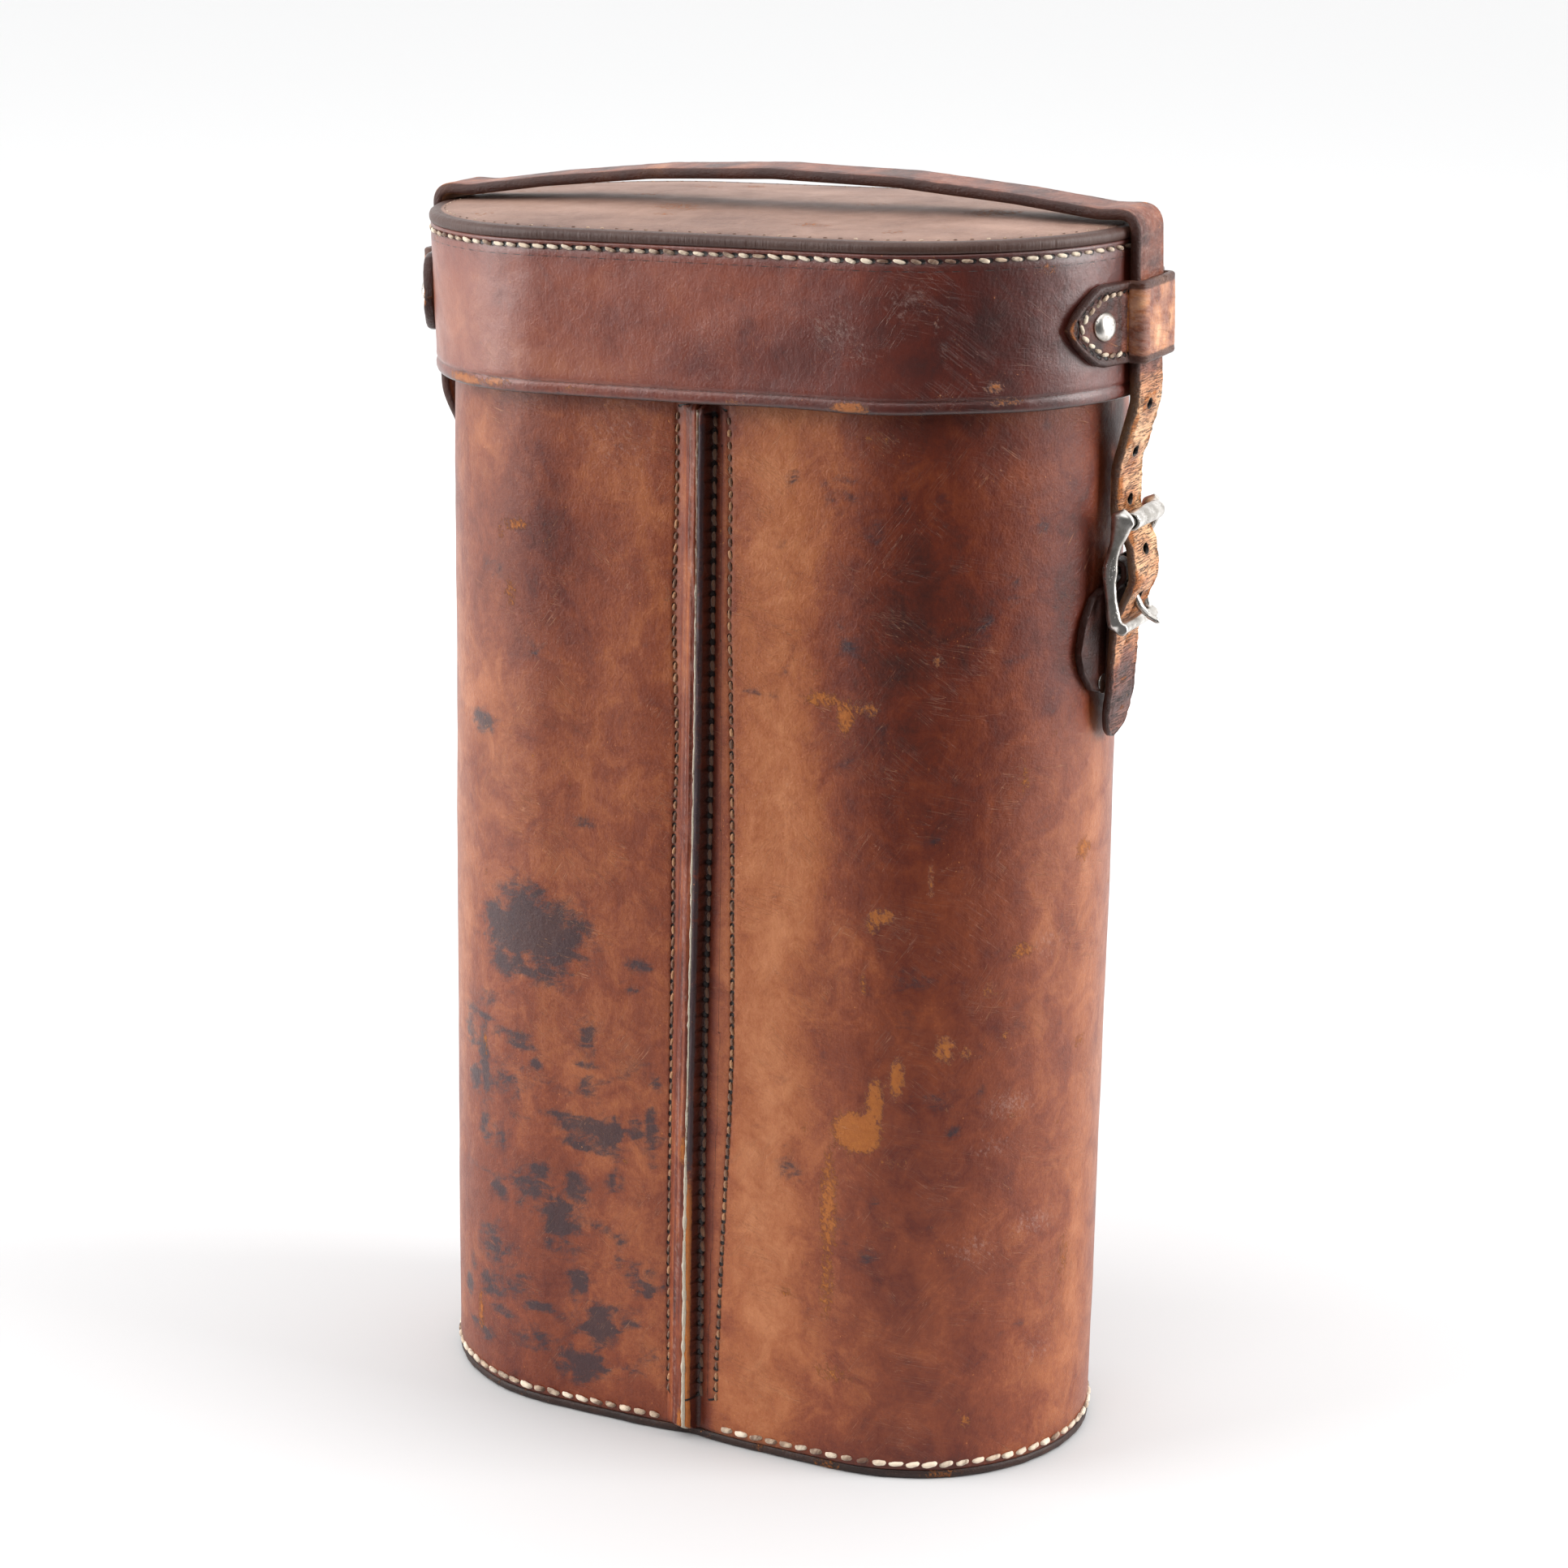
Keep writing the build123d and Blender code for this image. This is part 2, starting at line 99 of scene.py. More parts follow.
def lattice(ix, iy, iz, seed):
    """A repeatable random value from -1 to 1 at each whole-number point."""
    h = (ix * 374761393 + iy * 668265263 + iz * 1442695041 + seed * 97531357) & 0xFFFFFFFF
    h = ((h ^ (h >> 13)) * 1274126177) & 0xFFFFFFFF
    h = ((h ^ (h >> 16)) * 2246822519) & 0xFFFFFFFF
    return ((h ^ (h >> 15)) & 0xFFFFFF) / float(0x7FFFFF) - 1.0


def noise(x, y, z=0.0, seed=0):
    """Smooth value noise from -1 to 1."""
    x, y, z = np.broadcast_arrays(np.asarray(x, float), y, z)
    ix, iy, iz = (np.floor(a).astype(np.int64) for a in (x, y, z))
    fx, fy, fz = (a - i for a, i in ((x, ix), (y, iy), (z, iz)))
    fx, fy, fz = (f * f * f * (f * (f * 6 - 15) + 10) for f in (fx, fy, fz))
    total = 0.0
    for dx in (0, 1):
        for dy in (0, 1):
            for dz in (0, 1):
                weight = (fx if dx else 1 - fx) * (fy if dy else 1 - fy) * (fz if dz else 1 - fz)
                total = total + weight * lattice(ix + dx, iy + dy, iz + dz, seed)
    return total


def fbm(x, y, z=0.0, seed=0, octaves=4):
    """Layered noise, roughly from -1 to 1."""
    total, size, reach = 0.0, 1.0, 0.0
    for octave in range(octaves):
        k = 2.0 ** octave
        total = total + size * noise(np.asarray(x) * k, np.asarray(y) * k, np.asarray(z) * k, seed + octave)
        reach += size
        size *= 0.55
    return total / reach * 1.6


def smooth(low, high, value):
    """Smooth step from 0 at low to 1 at high."""
    t = np.clip((np.asarray(value, float) - low) / (high - low), 0, 1)
    return t * t * (3 - 2 * t)


def bump(value, centre, width):
    """A bell of height 1 at centre."""
    return np.exp(-(((np.asarray(value, float) - centre) / width) ** 2))


def resample(points, count):
    """The polyline at count evenly spaced places."""
    points = np.asarray(points, float)
    step = np.r_[0, np.cumsum(np.linalg.norm(np.diff(points, axis=0), axis=1))]
    at = np.linspace(0, step[-1], count)
    return np.stack([np.interp(at, step, points[:, i]) for i in range(points.shape[1])], 1)


def rounded(points, count, passes):
    """The polyline at count places, with its corners softened by repeated averaging and its ends kept."""
    line = resample(points, count)
    for _ in range(passes):
        line[1:-1] = (line[:-2] + 2 * line[1:-1] + line[2:]) / 4
    return resample(line, count)


# ------------------------------------------------------------------ mesh helpers


def finish_mesh(name, vertices, faces, material, attributes=None, smooth_shade=True):
    """A mesh object from millimetre vertices, with float or vector attributes on its points."""
    mesh = bpy.data.meshes.new(name)
    mesh.from_pydata((np.asarray(vertices) * MM).tolist(), [], faces)
    for key, values in (attributes or {}).items():
        values = np.asarray(values, np.float32)
        kind, field = ("FLOAT_VECTOR", "vector") if values.ndim == 2 else ("FLOAT", "value")
        mesh.attributes.new(key, kind, "POINT").data.foreach_set(field, values.ravel())
    mesh.validate()
    mesh.polygons.foreach_set("use_smooth", [smooth_shade] * len(mesh.polygons))
    mesh.materials.append(material)
    piece = bpy.data.objects.new(name, mesh)
    bpy.context.scene.collection.objects.link(piece)
    return piece


def grid_faces(rows, columns, close_rows=False, close_columns=True):
    """Quads of a grid of points, row by row."""
    r = np.arange(rows if close_rows else rows - 1)[:, None]
    c = np.arange(columns if close_columns else columns - 1)[None, :]
    r2, c2 = (r + 1) % rows, (c + 1) % columns
    quads = np.stack([r * columns + c, r * columns + c2, r2 * columns + c2, r2 * columns + c], -1)
    return quads.reshape(-1, 4).tolist()


def tube(centres, sides, ups, half_width, half_height, around):
    """Elliptic rings along centres."""
    angle = np.linspace(0, 2 * pi, around, endpoint=False)
    ring = np.stack([np.cos(angle), np.sin(angle)], 1)
    hw, hh = np.asarray(half_width)[:, None, None], np.asarray(half_height)[:, None, None]
    return centres[:, None] + sides[:, None] * ring[None, :, :1] * hw + ups[:, None] * ring[None, :, 1:] * hh


def solid_tube(rings):
    """Vertices and faces of rings closed by a face at each end."""
    rows, around, _ = rings.shape
    faces = grid_faces(rows, around)
    faces.append(list(range(around))[::-1])
    faces.append([(rows - 1) * around + i for i in range(around)])
    return rings.reshape(-1, 3), faces


def join(parts):
    """Vertices and faces of several (vertices, faces) pairs as one."""
    vertices, faces, start = [], [], 0
    for v, f in parts:
        vertices.append(v)
        faces.extend([[i + start for i in face] for face in f])
        start += len(v)
    return np.concatenate(vertices), faces


def no_row(count):
    """The row attribute of a piece without stitched rows."""
    return np.full((count, 3), NO_ROW)


def flattened(facts):
    """Attributes of a grid of points as one list each."""
    return {key: value.reshape(-1, 3) if value.ndim == 3 else value.ravel() for key, value in facts.items()}


def place(piece, body, slot, *nodes):
    """The piece rides on a body and stands for CAD nodes; its slot is not used."""
    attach(piece, body)
    if nodes:
        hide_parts(*nodes)
    return piece


# ------------------------------------------------------------------ materials


class Shader:
    """A few short ways to lay out a material's nodes."""

    def __init__(self, name):
        self.material = bpy.data.materials.new(name)
        self.material.use_nodes = True
        self.tree = self.material.node_tree
        self.tree.nodes.clear()
        self.surface = self.node("ShaderNodeBsdfPrincipled")
        output = self.node("ShaderNodeOutputMaterial")
        self.tree.links.new(self.surface.outputs["BSDF"], output.inputs["Surface"])

    def node(self, kind, **inputs):
        """A node with its settings (given as _name) and its inputs."""
        made = self.tree.nodes.new(kind)
        for key, value in inputs.items():
            if key.startswith("_"):
                setattr(made, key[1:], value)
            else:
                self.put(made.inputs[key.replace("__", " ")], value)
        return made

    def put(self, socket, value):
        if isinstance(value, bpy.types.NodeSocket):
            self.tree.links.new(value, socket)
        elif hasattr(socket.default_value, "__len__") and not hasattr(value, "__len__"):
            socket.default_value = [value] * len(socket.default_value)
        elif hasattr(value, "__len__") and len(socket.default_value) == 4 and len(value) == 3:
            socket.default_value = (*value, 1)
        else:
            socket.default_value = value

    def math(self, operation, a, b=0.0):
        made = self.node("ShaderNodeMath", _operation=operation)
        self.put(made.inputs[0], a)
        self.put(made.inputs[1], b)
        return made.outputs[0]

    def add(self, *values):
        total = values[0]
        for value in values[1:]:
            total = self.math("ADD", total, value)
        return total

    def times(self, a, b):
        return self.math("MULTIPLY", a, b)

    def swing(self, value, amount):
        """A noise's swing about its middle, scaled."""
        return self.times(self.math("SUBTRACT", value, 0.5), amount)

    def off_middle(self, value):
        """How far a value lies from one half, either way."""
        return self.math("ABSOLUTE", self.math("SUBTRACT", value, 0.5))

    def step(self, value, low, high):
        made = self.node("ShaderNodeMapRange", _interpolation_type="SMOOTHSTEP", Value=value)
        made.inputs["From Min"].default_value = low
        made.inputs["From Max"].default_value = high
        return made.outputs[0]

    def fact(self, name):
        return self.node("ShaderNodeAttribute", _attribute_name=name).outputs["Fac"]

    def vector(self, name):
        return self.node("ShaderNodeAttribute", _attribute_name=name).outputs["Vector"]

    def scaled(self, vector, scale, turn=0.0):
        """The vector turned about z and then stretched."""
        made = self.node("ShaderNodeMapping", _vector_type="TEXTURE", Vector=vector)
        made.inputs["Scale"].default_value = [1 / size for size in scale]
        made.inputs["Rotation"].default_value = (0, 0, turn)
        return made.outputs[0]

    def noise(self, vector, scale=1.0, detail=4.0, roughness=0.55, distortion=0.0):
        made = self.node(
            "ShaderNodeTexNoise", Vector=vector, Scale=scale, Detail=detail, Roughness=roughness,
            Distortion=distortion
        )
        return made.outputs["Fac"]

    def cells(self, vector, scale):
        return self.node("ShaderNodeTexVoronoi", Vector=vector, Scale=scale).outputs["Distance"]

    def mix(self, factor, a, b):
        made = self.node("ShaderNodeMix", _data_type="RGBA")
        self.put(made.inputs[0], factor)
        self.put(made.inputs[6], a)
        self.put(made.inputs[7], b)
        return made.outputs[2]

    def ramp(self, value, stops):
        made = self.node("ShaderNodeValToRGB", Fac=value)
        elements = made.color_ramp.elements
        while len(elements) < len(stops):
            elements.new(0.5)
        for element, (at, colour) in zip(elements, stops):
            element.position = at
            element.color = (*colour, 1)
        return made.outputs["Color"]

    def bumps(self, *layers):
        """Bump layers of (height, distance in metres), one over the other."""
        normal = None
        for height, distance in layers:
            made = self.node("ShaderNodeBump", Height=height)
            made.inputs["Distance"].default_value = distance
            made.inputs["Strength"].default_value = 1.0
            if normal is not None:
                self.put(made.inputs["Normal"], normal)
            normal = made.outputs[0]
        self.put(self.surface.inputs["Normal"], normal)

    def finish(self, colour, roughness, **fixed):
        self.put(self.surface.inputs["Base Color"], colour)
        self.put(self.surface.inputs["Roughness"], roughness)
        for key, value in fixed.items():
            self.surface.inputs[key.replace("_", " ")].default_value = value
        return self.material


def srgb(r, g, b):
    """A linear colour from 0-255 display values."""
    return tuple(((v / 255 + 0.055) / 1.055) ** 2.4 if v > 10 else v / 255 / 12.92 for v in (r, g, b))


OCHRE = srgb(196, 120, 48)
BURNISHED = srgb(54, 28, 22)
BLUE_BLACK = srgb(46, 38, 44)
BLOOM = srgb(190, 165, 155)


def leather(
    name, tones, roughness=0.4, grain=1.0, coat=0.06, patchy=0.5, streaks=0.07, specular=0.3, scratched=0.42
):
    """Waxed hide.  Point attributes steer it: tone (light to dark), stain, scuff, bloom, edge (burnished),
    wear (bare ochre edge), crack, inside (flesh side), lay (place on the hide) and row (across and along a
    stitched row, in stitches, and how sharply its holes end)."""
    s = Shader(name)
    lay = s.vector("lay")
    broad = s.noise(s.scaled(lay, (0.04, 0.024, 0.04)), 1.0, 3.0, 0.5, 0.8)
    patches = s.noise(s.scaled(lay, (0.1, 0.085, 0.1)), 1.0, 7.0, 0.66, 0.7)
    mottle = s.noise(lay, 0.55, 5.0, 0.65)
    fibre = s.noise(s.scaled(lay, (1.3, 0.14, 1.3)), 1.0, 4.0, 0.6)
    speck = s.noise(lay, 2.2, 3.0, 0.6)
    tone = s.add(
        s.fact("tone"),
        s.swing(broad, 0.55 * patchy),
        s.swing(patches, 1.25 * patchy),
        s.swing(mottle, 0.42 * patchy),
        s.swing(fibre, streaks),
        s.swing(speck, 0.12),
    )
    colour = s.ramp(tone, tones)

    smeared = s.noise(s.scaled(lay, (0.16, 0.34, 0.3), 0.25), 1.0, 6.0, 0.68, 0.6)
    stain_edge = s.add(s.fact("stain"), s.swing(patches, 0.9), s.swing(smeared, 1.7))
    stain = s.add(s.times(s.step(stain_edge, 0.14, 0.62), 0.38), s.times(s.step(stain_edge, 0.4, 0.74), 0.56))
    colour = s.mix(stain, colour, s.mix(0.1, BLUE_BLACK, colour))

    torn = s.noise(s.scaled(lay, (0.8, 0.5, 0.8), 0.6), 1.0, 8.0, 0.78, 0.3)
    scuff = s.step(s.add(s.fact("scuff"), s.swing(torn, 2.3)), 0.45, 0.75)
    colour = s.mix(s.times(scuff, 0.85), colour, s.mix(mottle, OCHRE, srgb(150, 78, 34)))
    bloom = s.step(s.add(s.fact("bloom"), s.swing(torn, 3.0)), 0.4, 0.95)
    colour = s.mix(s.times(bloom, 0.26), colour, BLOOM)

    # Fine scratches: thin bands of stretched noise, each at its own slant.
    lines = None
    for turn, stretch in ((0.9, 1.0), (-0.6, 0.8), (1.4, 0.7)):
        field = s.noise(s.scaled(lay, (0.9 * stretch, 0.035, 0.9), turn), 1.0, 2.0, 0.45)
        thin = s.step(s.off_middle(field), 0.006, 0.0)
        rare = s.step(s.noise(s.scaled(lay, (0.05, 0.04, 0.05), turn), 1.0, 2.0), 0.52, 0.64)
        line = s.times(thin, rare)
        lines = line if lines is None else s.math("MAXIMUM", lines, line)
    lines = s.times(lines, scratched)
    colour = s.mix(lines, colour, srgb(196, 138, 100))

    # Crumbs of bare ochre where the surface has been knocked.
    crumbs = s.step(s.noise(s.scaled(lay, (1.5, 0.9, 1.5), 0.3), 1.0, 3.0, 0.7), 0.63, 0.7)
    crumbs = s.times(crumbs, s.step(s.noise(lay, 0.075, 4.0, 0.65), 0.53, 0.64))
    colour = s.mix(s.times(crumbs, 0.75), colour, srgb(206, 132, 72))

    edge = s.step(s.add(s.fact("edge"), s.swing(mottle, 0.35)), 0.3, 0.75)
    colour = s.mix(s.times(edge, 0.85), colour, BURNISHED)
    wear = s.step(s.add(s.fact("wear"), s.swing(torn, 1.3)), 0.45, 0.8)
    colour = s.mix(s.times(wear, 0.9), colour, s.mix(mottle, OCHRE, srgb(158, 84, 40)))

    # Awl holes and the groove of a stitched row, painted dark: painted shade in holes that the mesh does not
    # cut, and in the groove.
    row = s.node("ShaderNodeSeparateXYZ", Vector=s.vector("row"))
    across = s.math("ABSOLUTE", row.outputs[0])
    along = s.off_middle(s.math("FRACT", s.add(row.outputs[1], 0.5)))
    wide = s.math("POWER", s.times(across, 1.7), 2.0)
    long = s.math("POWER", s.times(along, row.outputs[2]), 2.0)
    reach = s.math("POWER", s.add(wide, long), 0.5)
    hole = s.step(reach, 1.35, 0.8)
    groove = s.times(s.step(across, 1.5, 0.2), 0.45)
    colour = s.mix(groove, colour, s.mix(0.75, colour, srgb(48, 24, 18)))
    colour = s.mix(hole, colour, srgb(22, 12, 10))

    # Dark cracks that run across a worn strap.
    split = s.noise(s.scaled(lay, (0.22, 1.5, 0.4)), 1.0, 4.0, 0.62, 0.5)
    crack = s.times(s.step(s.off_middle(split), 0.036, 0.008), s.fact("crack"))
    crack = s.times(crack, s.step(s.noise(lay, 0.3, 4.0, 0.6), 0.34, 0.52))
    colour = s.mix(s.times(crack, 0.88), colour, srgb(58, 28, 18))

    inside = s.fact("inside")
    flesh = s.mix(s.noise(lay, 0.3, 5.0, 0.7), srgb(150, 112, 78), srgb(116, 78, 52))
    colour = s.mix(inside, colour, flesh)

    pores = s.cells(lay, 1.25)
    pebble = s.noise(lay, 1.6, 5.0, 0.6)
    crease = s.noise(s.scaled(lay, (0.4, 0.3, 0.4)), 1.0, 6.0, 0.7)
    torn_nap = s.times(scuff, s.noise(lay, 2.5, 4.0, 0.7))
    worn_nap = s.times(wear, s.noise(lay, 2.5, 4.0, 0.7))
    s.bumps(
        (s.times(crease, 1.0), 0.00035 * grain),
        (s.add(s.times(pores, 0.6), pebble), 0.00007 * grain),
        (s.add(torn_nap, worn_nap, s.times(lines, -0.8)), 0.0003),
        (s.times(hole, -1.0), 0.0005),
        (s.times(crack, -1.0), 0.0005),
    )
    worn = s.math("MAXIMUM", s.math("MAXIMUM", scuff, wear), inside)
    rough = s.add(
        roughness,
        s.swing(patches, 0.22),
        s.swing(mottle, 0.12),
        s.times(worn, 0.35),
        s.times(edge, -0.12),
        s.times(stain, -0.05),
        s.times(bloom, 0.2),
    )
    return s.finish(colour, rough, Coat_Weight=coat, Coat_Roughness=0.3, Specular_IOR_Level=specular)


def thread(name, light, dark):
    """Waxed linen thread; the pick attribute tints each stitch on its own."""
    s = Shader(name)
    lay = s.vector("lay")
    pick = s.fact("pick")
    fibres = s.noise(s.scaled(lay, (1.2, 5.0, 5.0), 0.5), 1.0, 3.0, 0.6)
    thread_darkening = s.noise(lay, 0.12, 4.0, 0.6)
    colour = s.mix(s.add(s.times(pick, 0.55), s.times(fibres, 0.5)), light, dark)
    colour = s.mix(s.step(s.add(thread_darkening, s.times(pick, 0.25)), 0.52, 0.85), colour, srgb(96, 62, 40))
    s.bumps((fibres, 0.00012), (s.noise(lay, 3.0, 3.0), 0.00006))
    return s.finish(colour, s.add(0.55, s.times(fibres, 0.2)), Sheen_Weight=0.25, Sheen_Roughness=0.5)


def linen():
    """The fuzzy off-white cloth edge of the welt, soiled in places."""
    s = Shader("linen")
    lay = s.vector("lay")
    weave = s.noise(s.scaled(lay, (3.0, 1.2, 3.0)), 1.0, 4.0, 0.7)
    soil = s.noise(s.scaled(lay, (0.5, 0.06, 0.5)), 1.0, 5.0, 0.65)
    clean = s.mix(weave, srgb(226, 216, 196), srgb(168, 150, 122))
    dirty = s.mix(weave, srgb(150, 104, 66), srgb(84, 52, 36))
    colour = s.mix(s.step(s.add(soil, s.fact("tone")), 0.42, 0.66), clean, dirty)
    s.bumps((weave, 0.0004))
    return s.finish(colour, 0.85, Sheen_Weight=0.4, Sheen_Roughness=0.6)


def nickel():
    """Worn nickel plate: soft polish, dull hollows, pits and a yellowed tarnish."""
    s = Shader("nickel")
    lay = s.node("ShaderNodeTexCoord").outputs["Object"]
    cloud = s.noise(lay, 260.0, 5.0, 0.6)
    fine = s.noise(lay, 1500.0, 4.0, 0.6)
    pit = s.step(s.cells(lay, 1100.0), 0.3, 0.12)
    pits = s.times(pit, s.step(s.noise(lay, 190.0, 3.0, 0.6), 0.48, 0.6))
    colour = s.mix(s.step(cloud, 0.35, 0.68), srgb(224, 220, 215), srgb(170, 165, 158))
    colour = s.mix(s.times(s.step(fine, 0.5, 0.8), 0.6), colour, srgb(160, 150, 134))
    colour = s.mix(pits, colour, srgb(52, 42, 34))
    brush = s.noise(s.scaled(lay, (300.0, 2600.0, 300.0)), 1.0, 3.0, 0.6)
    s.bumps((cloud, 0.00004), (brush, 0.00001), (s.times(pits, -1.0), 0.0001))
    rough = s.add(0.22, s.times(cloud, 0.16), s.times(brush, 0.08), s.times(pits, 0.4))
    return s.finish(colour, rough, Metallic=1.0)


CASE_LEATHER = leather(
    "case_leather",
    [
        (0.0, srgb(178, 112, 72)), (0.25, srgb(156, 88, 50)), (0.5, srgb(124, 58, 31)),
        (0.75, srgb(96, 37, 20)), (1.0, srgb(60, 23, 16))
    ],
    patchy=0.68,
    coat=0.15,
    scratched=0.32,
)
LID_LEATHER = leather(
    "lid_leather",
    [
        (0.0, srgb(156, 90, 60)), (0.3, srgb(128, 60, 38)), (0.55, srgb(100, 38, 24)),
        (0.8, srgb(74, 25, 17)), (1.0, srgb(48, 18, 15))
    ],
    roughness=0.38,
    grain=0.65,
    coat=0.4,
    patchy=0.5,
    streaks=0.03,
    specular=0.55,
    scratched=0.2,
)
TOP_LEATHER = leather(
    "lid_top_leather",
    [
        (0.0, srgb(168, 134, 117)), (0.4, srgb(137, 106, 92)), (0.7, srgb(108, 80, 70)),
        (1.0, srgb(64, 40, 34))
    ],
    roughness=0.56,
    coat=0.0,
    patchy=0.4,
    streaks=0.03,
    specular=0.4,
    scratched=0.25,
)
STRAP_LEATHER = leather(
    "strap_leather",
    [
        (0.0, srgb(236, 184, 136)), (0.3, srgb(190, 126, 84)), (0.55, srgb(128, 69, 46)),
        (0.8, srgb(80, 39, 30)), (1.0, srgb(44, 23, 20))
    ],
    roughness=0.42,
    grain=1.6,
    patchy=0.55,
    streaks=0.0,
)
SOLE_LEATHER = leather(
    "sole_leather",
    [(0.0, srgb(120, 78, 50)), (0.4, srgb(82, 50, 36)), (0.7, srgb(54, 34, 28)), (1.0, srgb(34, 24, 22))],
    roughness=0.5,
    coat=0.05,
)
LINING_LEATHER = leather(
    "lining_leather",
    [(0.0, srgb(196, 150, 108)), (0.5, srgb(160, 112, 76)), (1.0, srgb(112, 72, 48))],
    roughness=0.6,
    coat=0.0,
)
CREAM_THREAD = thread("linen_thread", srgb(246, 232, 210), srgb(200, 168, 136))
BROWN_THREAD = thread("waxed_thread", srgb(208, 154, 104), srgb(108, 62, 38))
LINEN = linen()
NICKEL = nickel()


# ------------------------------------------------------------------ outlines and paths


class Outline:
    """The right half of a two-lobed outline, followed from the front seam plane round to the back one."""

    # The line runs on this far past both seam planes.
    overrun = 12

    def __init__(self, radius, pinch=0.0):
        x = np.linspace(0, FLAT, 240, endpoint=False)
        front = np.stack([x, -radius + np.zeros_like(x)], 1)
        if pinch:
            bend = (PINCH_SPAN ** 2 + pinch ** 2) / (2 * pinch)
            front[:, 1] += bend - np.sqrt(bend ** 2 - np.clip(PINCH_SPAN - x, 0, None) ** 2)
        angle = np.linspace(-pi / 2, pi / 2, 900)
        end = np.stack([FLAT + radius * np.cos(angle), radius * np.sin(angle)], 1)
        back = front[::-1] * (1, -1)
        line = np.concatenate(
            [front[:1] - (self.overrun, 0), front, end, back, back[-1:] - (self.overrun, 0)]
        )
        self.line = line
        self.s = np.r_[0, np.cumsum(np.linalg.norm(np.diff(line, axis=0), axis=1))] - self.overrun
        self.length = self.s[-1] - self.overrun
        tangent = np.gradient(line, self.s, axis=0)
        tangent /= np.linalg.norm(tangent, axis=1, keepdims=True)
        self.normal = np.stack([tangent[:, 1], -tangent[:, 0]], 1)

    def at(self, s, out=0.0, side=1):
        """Points and outward normals at distance s along the half, moved outwards by out."""
        point = np.stack([np.interp(s, self.s, self.line[:, i]) for i in (0, 1)], -1)
        normal = np.stack([np.interp(s, self.s, self.normal[:, i]) for i in (0, 1)], -1)
        point = point + normal * np.asarray(out)[..., None]
        return point * (side, 1), normal * (side, 1)

    def loop(self, spacing):
        """Points, normals and running distance evenly round the whole outline, from the front seam plane."""
        count = int(self.length / spacing)
        s = (np.arange(count) + 0.5) * self.length / count
        right, right_n = self.at(s)
        point = np.concatenate([right, right[::-1] * (-1, 1)])
        normal = np.concatenate([right_n, right_n[::-1] * (-1, 1)])
        return point, normal, np.r_[s, 2 * self.length - s[::-1]]


BODY = Outline(END_RADIUS, PINCH)
LID = Outline(LID_RADIUS)


def lid_to_world(points):
    """Points in the lid's own tilted frame (along, across, above the seat), in the object's frame."""
    points = np.asarray(points, float)
    u, v, w = points[..., 0], points[..., 1], points[..., 2]
    return np.stack([u * cos(TILT) - w * sin(TILT), v, LID_SEAT + u * sin(TILT) + w * cos(TILT)], -1)


def lid_directions(vectors):
    """Directions in the lid's own frame, in the object's frame."""
    return lid_to_world(vectors) - lid_to_world([(0, 0, 0.0)])[0]


def filleted(corners, radii, step):
    """A polyline in a plane with each inner corner rounded, as points about step apart."""
    corners = [np.asarray(c, float) for c in corners]
    line = [corners[0]]
    for before, here, after, radius in zip(corners, corners[1:], corners[2:], radii):
        a, b = before - here, after - here
        la, lb = np.linalg.norm(a), np.linalg.norm(b)
        a, b = a / la, b / lb
        half = np.arccos(np.clip(a @ b, -1, 1)) / 2
        reach = min(radius / np.tan(half), 0.49 * la, 0.49 * lb)
        t = np.linspace(0, 1, 14)[:, None]
        start, stop = here + a * reach, here + b * reach
        line.extend((1 - t) ** 2 * start + 2 * t * (1 - t) * here + t ** 2 * stop)
    line.append(corners[-1])
    line = np.array(line)
    length = np.linalg.norm(np.diff(line, axis=0), axis=1).sum()
    return resample(line, int(length / step) + 1)


def frames(path):
    """Unit tangents of a polyline and the running distance along it."""
    tangent = np.gradient(path, axis=0)
    tangent /= np.linalg.norm(tangent, axis=1, keepdims=True)
    return tangent, np.r_[0, np.cumsum(np.linalg.norm(np.diff(path, axis=0), axis=1))]


def strip(centres, sides, ups, half_width, thickness, across, corner, relief=None):
    """Rounded-rectangle rings of a strap along centres.

    Returns the rings, the distance of each point from the strap's nearer edge, its place across the strap,
    and which way it faces (1 outwards, -1 inwards)."""
    turn = np.radians([68, 45, 22, 0, -22, -45, -68])
    flat = np.linspace(-1, 1, across)
    template = [(a, 0, 1, 1) for a in flat]
    template += [(1, np.cos(t), np.sign(np.sin(t)), np.sin(t)) for t in turn]
    template += [(a, 0, -1, -1) for a in flat[::-1]]
    template += [(-1, -np.cos(t), -np.sign(np.sin(t)), -np.sin(t)) for t in turn]
    sx, cx, sy, cy = np.array(template, float).T[:, None]
    hw = np.asarray(half_width, float)[:, None] * np.ones_like(sx)
    th = np.asarray(thickness, float)[:, None] / 2 * np.ones_like(sx)
    c = np.minimum(corner, np.minimum(th, hw) * 0.95)
    x = sx * (hw - c) + cx * c
    y = sy * (th - c) + cy * c
    face = cy * np.ones_like(hw)
    edge = np.clip(hw - np.abs(x), 0, None)
    if relief is not None:
        y = y + relief(edge, x) * np.clip(face, 0, 1)
    return centres[:, None] + sides[:, None] * x[..., None] + ups[:, None] * y[..., None], edge, x, face


def seeded(seed):
    return np.random.default_rng(seed)


